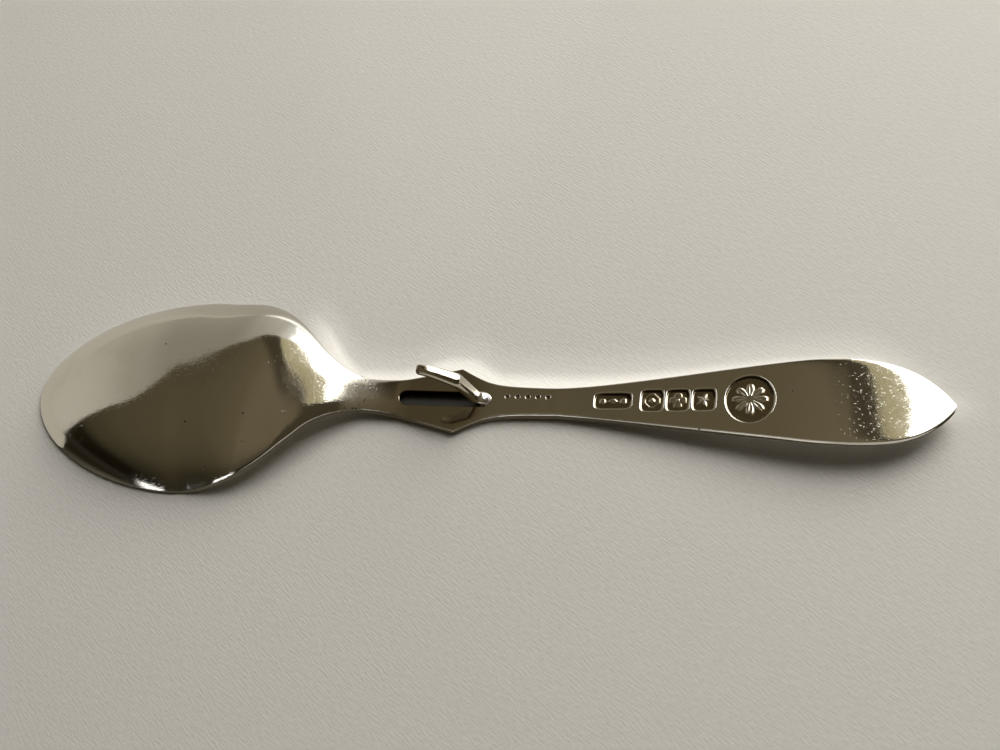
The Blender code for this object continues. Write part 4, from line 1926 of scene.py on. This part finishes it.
@dataclass(frozen=True)
class Room:
    """The world: a soft fill for the floor, and walls and a window that only metal mirrors.

    Directions are parts of a unit vector: east, north and up.
    """

    name: str = "pale_room"
    window: Colour = (3.6, 3.6, 3.5)
    window_east: Span = (0.10, 0.22)
    window_up: Span = (-0.02, 0.03)
    window_north: Span = (-0.05, 0.10)
    corner_east: Span = (0.70, 0.85)
    corner_up: Span = (0.30, 0.22)
    glare: Colour = (1.5, 1.5, 1.45)
    glare_up: Span = (-0.01, 0.03)
    glare_top: Span = (0.125, 0.085)
    glare_north: Span = (-0.3, -0.5)
    glare_east: Span = (-0.68, -0.62)
    glare_end: Span = (0.02, -0.06)
    post_start: Span = (-0.50, -0.47)
    post_end: Span = (-0.30, -0.34)
    dusk: Colour = (0.10, 0.09, 0.07)
    dusk_share: float = 0.27
    dusk_up: Span = (0.0, 0.6)
    dusk_east: Span = (-0.95, -0.55)
    shade: Colour = (0.020, 0.017, 0.011)
    shade_north: Span = (-0.14, -0.20)
    fill: Colour = (0.36, 0.355, 0.34)
    fill_north: Span = (-0.05, 0.50)
    backdrop: Colour = (0.50, 0.475, 0.43)
    walls: Tones = (
        (-1.00, (0.435, 0.405, 0.345)), (-0.64, (0.355, 0.325, 0.265)),
        (-0.48, (0.285, 0.260, 0.210)), (-0.38, (0.280, 0.257, 0.207)),
        (-0.24, (0.380, 0.350, 0.290)), (-0.05, (0.46, 0.43, 0.37)), (0.12, (0.80, 0.78, 0.72)),
    )

    def mirrored(self, bench: Bench, east: Wire, north: Wire, up: Wire) -> bpy.types.NodeSocket:
        """What the metal mirrors: walls, a window with a cut corner, a low glare and a dark side.

        Args:
            bench: The world's nodes.
            east: The direction's first part.
            north: Its second part.
            up: Its third part.

        Returns:
            The colour's socket.
        """
        dusk = self.dusk_share * up.step(*self.dusk_up) * east.step(*self.dusk_east)
        colour = bench.blend(dusk, bench.graded(east, self.walls), self.dusk)
        window = east.step(*self.window_east) * up.step(*self.window_up)
        window = window * north.step(*self.window_north)
        window = window * (1 - east.step(*self.corner_east) * up.step(*self.corner_up))
        colour = bench.blend(window, colour, self.window)
        colour = bench.blend(north.step(*self.shade_north), colour, self.shade)
        glare = up.step(*self.glare_up) * up.step(*self.glare_top) * north.step(*self.glare_north)
        glare = glare * east.step(*self.glare_east) * east.step(*self.glare_end)
        glare = glare * (1 - east.step(*self.post_start) * east.step(*self.post_end))
        return bench.blend(glare, colour, self.glare)

    def build(self) -> None:
        """Sets the room as the scene's world."""
        world = bpy.data.worlds.new(self.name)
        world.use_nodes = True
        bench = Bench(world.node_tree)
        east, north, up = bench.axes(bench.add("ShaderNodeTexCoord").outputs["Generated"])
        mirrored = self.mirrored(bench, east, north, up)
        fill = bench.blend(north.step(*self.fill_north), self.shade, self.fill)
        rays = bench.add("ShaderNodeLightPath")
        colour = bench.blend(bench.wire(rays, "Is Glossy Ray"), fill, mirrored)
        colour = bench.blend(bench.wire(rays, "Is Camera Ray"), colour, self.backdrop)
        sockets = {"Color": colour, "Strength": 1.0}
        bench.finish("ShaderNodeOutputWorld", "ShaderNodeBackground", sockets)
        bpy.context.scene.world = world


@dataclass
class Studio:
    """Floor, cards, lamp, room and camera. Outlines are pairs of x and y, in metres."""

    room: Room = Room()
    floor_size: float = 6.0
    card_height: float = 0.8
    card_step: float = 0.0005
    flag_height: float = 0.0002
    lamp_place: Triple = (0.25, 0.44, 0.45)
    lamp_colour: Colour = (1.0, 0.985, 0.95)
    lamp_size: float = 0.62
    lamp_power: float = 5.6
    lens: float = 43.2
    sensor_width: float = 36.0
    nearest: float = 0.01
    camera_place: Triple = (0.04784, -0.09623, 0.16915)
    camera_yaw: float = math.radians(22.46)
    camera_pitch: float = math.radians(56.89)
    camera_roll: float = math.radians(17.61)
    lit: Colour = (0.47, 0.44, 0.38)
    canopy: Tones = (
        (-3.10, (0.013, 0.010, 0.005)), (-1.60, (0.050, 0.041, 0.023)),
        (-0.85, (0.068, 0.055, 0.031)), (-0.50, (0.074, 0.060, 0.034)),
        (-0.37, (0.083, 0.067, 0.039)), (-0.16, (0.098, 0.079, 0.046)),
        (0.07, (0.124, 0.100, 0.061)),
    )
    canopy_band: Colour = (0.047, 0.038, 0.022)
    warmth: Tones = (
        (0.365, (0.075, 0.061, 0.036)), (0.395, (0.350, 0.303, 0.180)),
        (0.430, (0.405, 0.355, 0.212)), (0.500, (0.430, 0.380, 0.240)),
    )
    # Painted shade: the shaded floor by the spoon's near side, as the metal mirrors it.
    near_tones: Tones = (
        (-0.084, (0.014, 0.011, 0.006)), (-0.060, (0.090, 0.079, 0.059)),
        (-0.010, (0.065, 0.056, 0.040)), (0.050, (0.045, 0.038, 0.027)),
    )
    # The far floor as the metal mirrors it, with a painted glow by the handle at its bright end.
    far_tones: Tones = (
        (-0.070, (0.420, 0.390, 0.325)), (-0.058, (0.400, 0.372, 0.310)),
        (-0.047, (0.355, 0.330, 0.272)), (-0.036, (0.335, 0.310, 0.256)),
        (-0.024, (0.370, 0.345, 0.290)), (-0.008, (1.3, 1.28, 1.2)),
    )
    edge: Pairs = (
        (0.040, 1.25), (0.095, 0.97), (0.145, 0.83), (0.195, 0.69), (0.230, 0.58), (0.248, 0.48),
        (0.258, 0.40), (0.270, 0.31), (0.295, 0.23), (0.330, 0.16), (0.375, 0.10), (0.440, 0.06),
    )
    sill: Pairs = (
        (0.560, 0.10), (0.700, 0.20), (1.2, 0.60), (9.0, 5.0),
    )
    far_edge: Pairs = (
        (0.490, 0.09), (0.430, 0.14), (0.392, 0.22), (0.362, 0.30), (0.345, 0.37), (0.342, 0.44),
        (0.342, 0.50), (0.328, 0.57), (0.305, 0.64), (0.290, 0.72), (0.285, 0.80), (0.288, 0.92),
        (0.290, 1.3),
    )
    outer: Pairs = (
        (9.0, -4.6), (-1.5, -4.6), (-3.3, -9.0), (-9.0, -9.0), (-9.0, -1.5),
    )
    window_far: Pairs = ((9.0, 9.0), (0.5, 9.0))
    left_edge: Pairs = (
        (-5.0, -0.84), (-2.5, -0.31), (-1.2, -0.06), (-0.85, 0.00), (-0.66, 0.11), (-0.54, 0.29),
        (-0.50, 0.50), (-0.51, 0.70), (-0.47, 0.84), (-0.37, 0.95), (-0.28, 1.08), (-0.17, 1.22),
        (-0.02, 1.30),
    )
    near_floor: Pairs = (
        (-0.0735, -0.0130), (-8.0, -1.62), (-8.0, -8.0), (8.0, -8.0), (8.0, -0.03), (0.084, 0.0),
        (0.070, 0.0), (-0.020, 0.0), (-0.060, 0.0),
    )
    far_floor: Pairs = (
        (-0.0735, -0.0129), (-0.060, 0.0005), (-0.020, 0.0005), (0.0, 0.03), (1.8, 8.0), (-8.0, 8.0),
        (-8.0, -1.61),
    )
    lit_floor: Pairs = (
        (-0.010, -0.40), (0.40, -0.40), (0.40, -0.007), (0.080, -0.007), (0.060, -0.013),
        (0.035, -0.010), (0.010, -0.006), (0.000, -0.009), (-0.010, -0.007),
    )

    def floor(self) -> bpy.types.Object:
        """Makes the plain pale floor.

        Returns:
            The floor.
        """
        half = self.floor_size / 2
        mesh = bpy.data.meshes.new("floor")
        corners = [(-half, -half, 0.0), (half, -half, 0.0), (half, half, 0.0), (-half, half, 0.0)]
        mesh.from_pydata(corners, [], [(0, 1, 2, 3)])
        mesh.materials.append(FloorFinish().material())
        floor = bpy.data.objects.new("floor", mesh)
        bpy.context.scene.collection.objects.link(floor)
        floor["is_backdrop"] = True
        return floor

    def cards(self) -> None:
        """Hangs the dark canopy, its warm edge and the bright window, and lays the floor's flags.

        The flags are what the metal mirrors of the floor, with its light and shade painted on: painted
        shade on the near side, pale on the far side with a painted glow by the handle, and painted
        light along the handle's near edge.
        """
        dark = GlowFinish(
            "dark_canopy", self.canopy, lean=-0.15, fade=0.50, band=self.canopy_band, band_lean=0.5,
        )
        warm = GlowFinish("warm_edge", self.warmth, lean=0.31)
        bright = GlowFinish("bright_window", ((0.0, self.room.window),))
        near = GlowFinish("near_flag", self.near_tones)
        far = GlowFinish("far_flag", self.far_tones, lean=0.32)
        lit = GlowFinish("lit_flag", ((0.0, self.lit),))
        edge, far_edge = tuple(flowing(self.edge)), tuple(flowing(self.far_edge))
        dark_outline = edge + self.sill + self.outer + tuple(flowing(self.left_edge))
        window_outline = tuple(reversed(far_edge)) + self.sill + self.window_far
        high, low = self.card_height, self.flag_height
        Card("dark_card", dark_outline, high, dark).build()
        Card("warm_card", edge + far_edge, high - 2 * self.card_step, warm).build()
        Card("window_card", window_outline, high - 3 * self.card_step, bright).build()
        Card("near_floor_card", self.near_floor, low, near).build()
        Card("far_floor_card", self.far_floor, low, far).build()
        Card("lit_floor_card", self.lit_floor, 1.5 * low, lit).build()

    def lamp(self) -> None:
        """Adds the soft lamp. It points at the spoon, and metal doesn't mirror it."""
        data = bpy.data.lights.new("window_lamp", "AREA")
        data.size = self.lamp_size
        data.energy = self.lamp_power
        data.color = self.lamp_colour
        lamp = bpy.data.objects.new("window_lamp", data)
        lamp.location = self.lamp_place
        lamp.rotation_euler = (-Vector(self.lamp_place)).to_track_quat("-Z", "Y").to_euler()
        lamp.visible_glossy = False
        bpy.context.scene.collection.objects.link(lamp)

    def camera(self) -> None:
        """Sets the camera at the photograph's angle."""
        data = bpy.data.cameras.new("camera")
        data.lens = self.lens
        data.sensor_width = self.sensor_width
        data.clip_start = self.nearest
        camera = bpy.data.objects.new("camera", data)
        turn = Matrix.Rotation(self.camera_yaw, 4, "Z")
        turn = turn @ Matrix.Rotation(math.pi / 2 - self.camera_pitch, 4, "X")
        turn = turn @ Matrix.Rotation(-self.camera_roll, 4, "Z")
        camera.matrix_world = Matrix.Translation(self.camera_place) @ turn
        bpy.context.scene.collection.objects.link(camera)
        bpy.context.scene.camera = camera

    def build(self) -> None:
        """Sets up the whole studio."""
        self.floor()
        self.cards()
        self.lamp()
        self.room.build()
        self.camera()
        bpy.context.scene.view_settings.view_transform = "Standard"


@dataclass
class SizeSheet:
    """The CAD box, measured before the spoon is rebuilt."""

    cad: list[list[float]] = field(default_factory=list)

    def measure(self) -> list[list[float]]:
        """The box of what shows now, as plain lists."""
        return [list(corner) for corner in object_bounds()]

    def write(self) -> None:
        """Does nothing."""


def panels() -> list[SunkPanel]:
    """Lays out the panels and dots on the handle's back, the medal first, then towards the stem.

    Returns:
        The panels and dots.
    """
    made = [
        SunkPanel(
            "medal_rosette", Motif.ROSETTE, place=0.0635, length=0.0078, width=0.0086, around=144,
        ),
    ]
    for i, motif in enumerate((Motif.LOZENGE, Motif.QUATREFOIL, Motif.STAR)):
        made.append(SunkPanel(
            f"panel_{motif.value}", motif, place=0.0523 + 0.0041 * (i - 1), length=0.0038,
            width=0.0041, squareness=0.4,
        ))
    made.append(SunkPanel(
        "panel_beads", Motif.BEADS, place=0.0419, length=0.0062, width=0.0031, squareness=0.4,
    ))
    for i in range(5):
        made.append(SunkPanel(
            f"punched_dot_{i + 1}", Motif.DENT, place=0.0244 + 0.0017 * i, length=0.00085,
            width=0.00085, offset=0.0006, depth=0.00018, lip=0.55, around=32, floor_rings=5,
        ))
    return made


def main() -> None:
    """Builds the spoon around the frame, then its studio."""
    sheet = SizeSheet()
    sheet.cad = sheet.measure()
    LOG.info("nodes in the frame: %s", ", ".join(sorted(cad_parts)))
    silver = SilverFinish().material()
    solder = SolderFinish().material()
    neck = Neck()
    Bowl(neck).build(silver)
    handle = Handle(neck)
    marks = panels()
    handle.build(marks, silver)
    for mark in marks:
        mark.build(handle, silver)
    hook = Hook()
    hook.build(silver)
    HookSolder(hook).build(solder)
    neck.solder(silver)
    Studio().build()
    sheet.write()


if __name__ == "__main__":
    logging.basicConfig(level=logging.INFO, format="%(message)s")
    main()
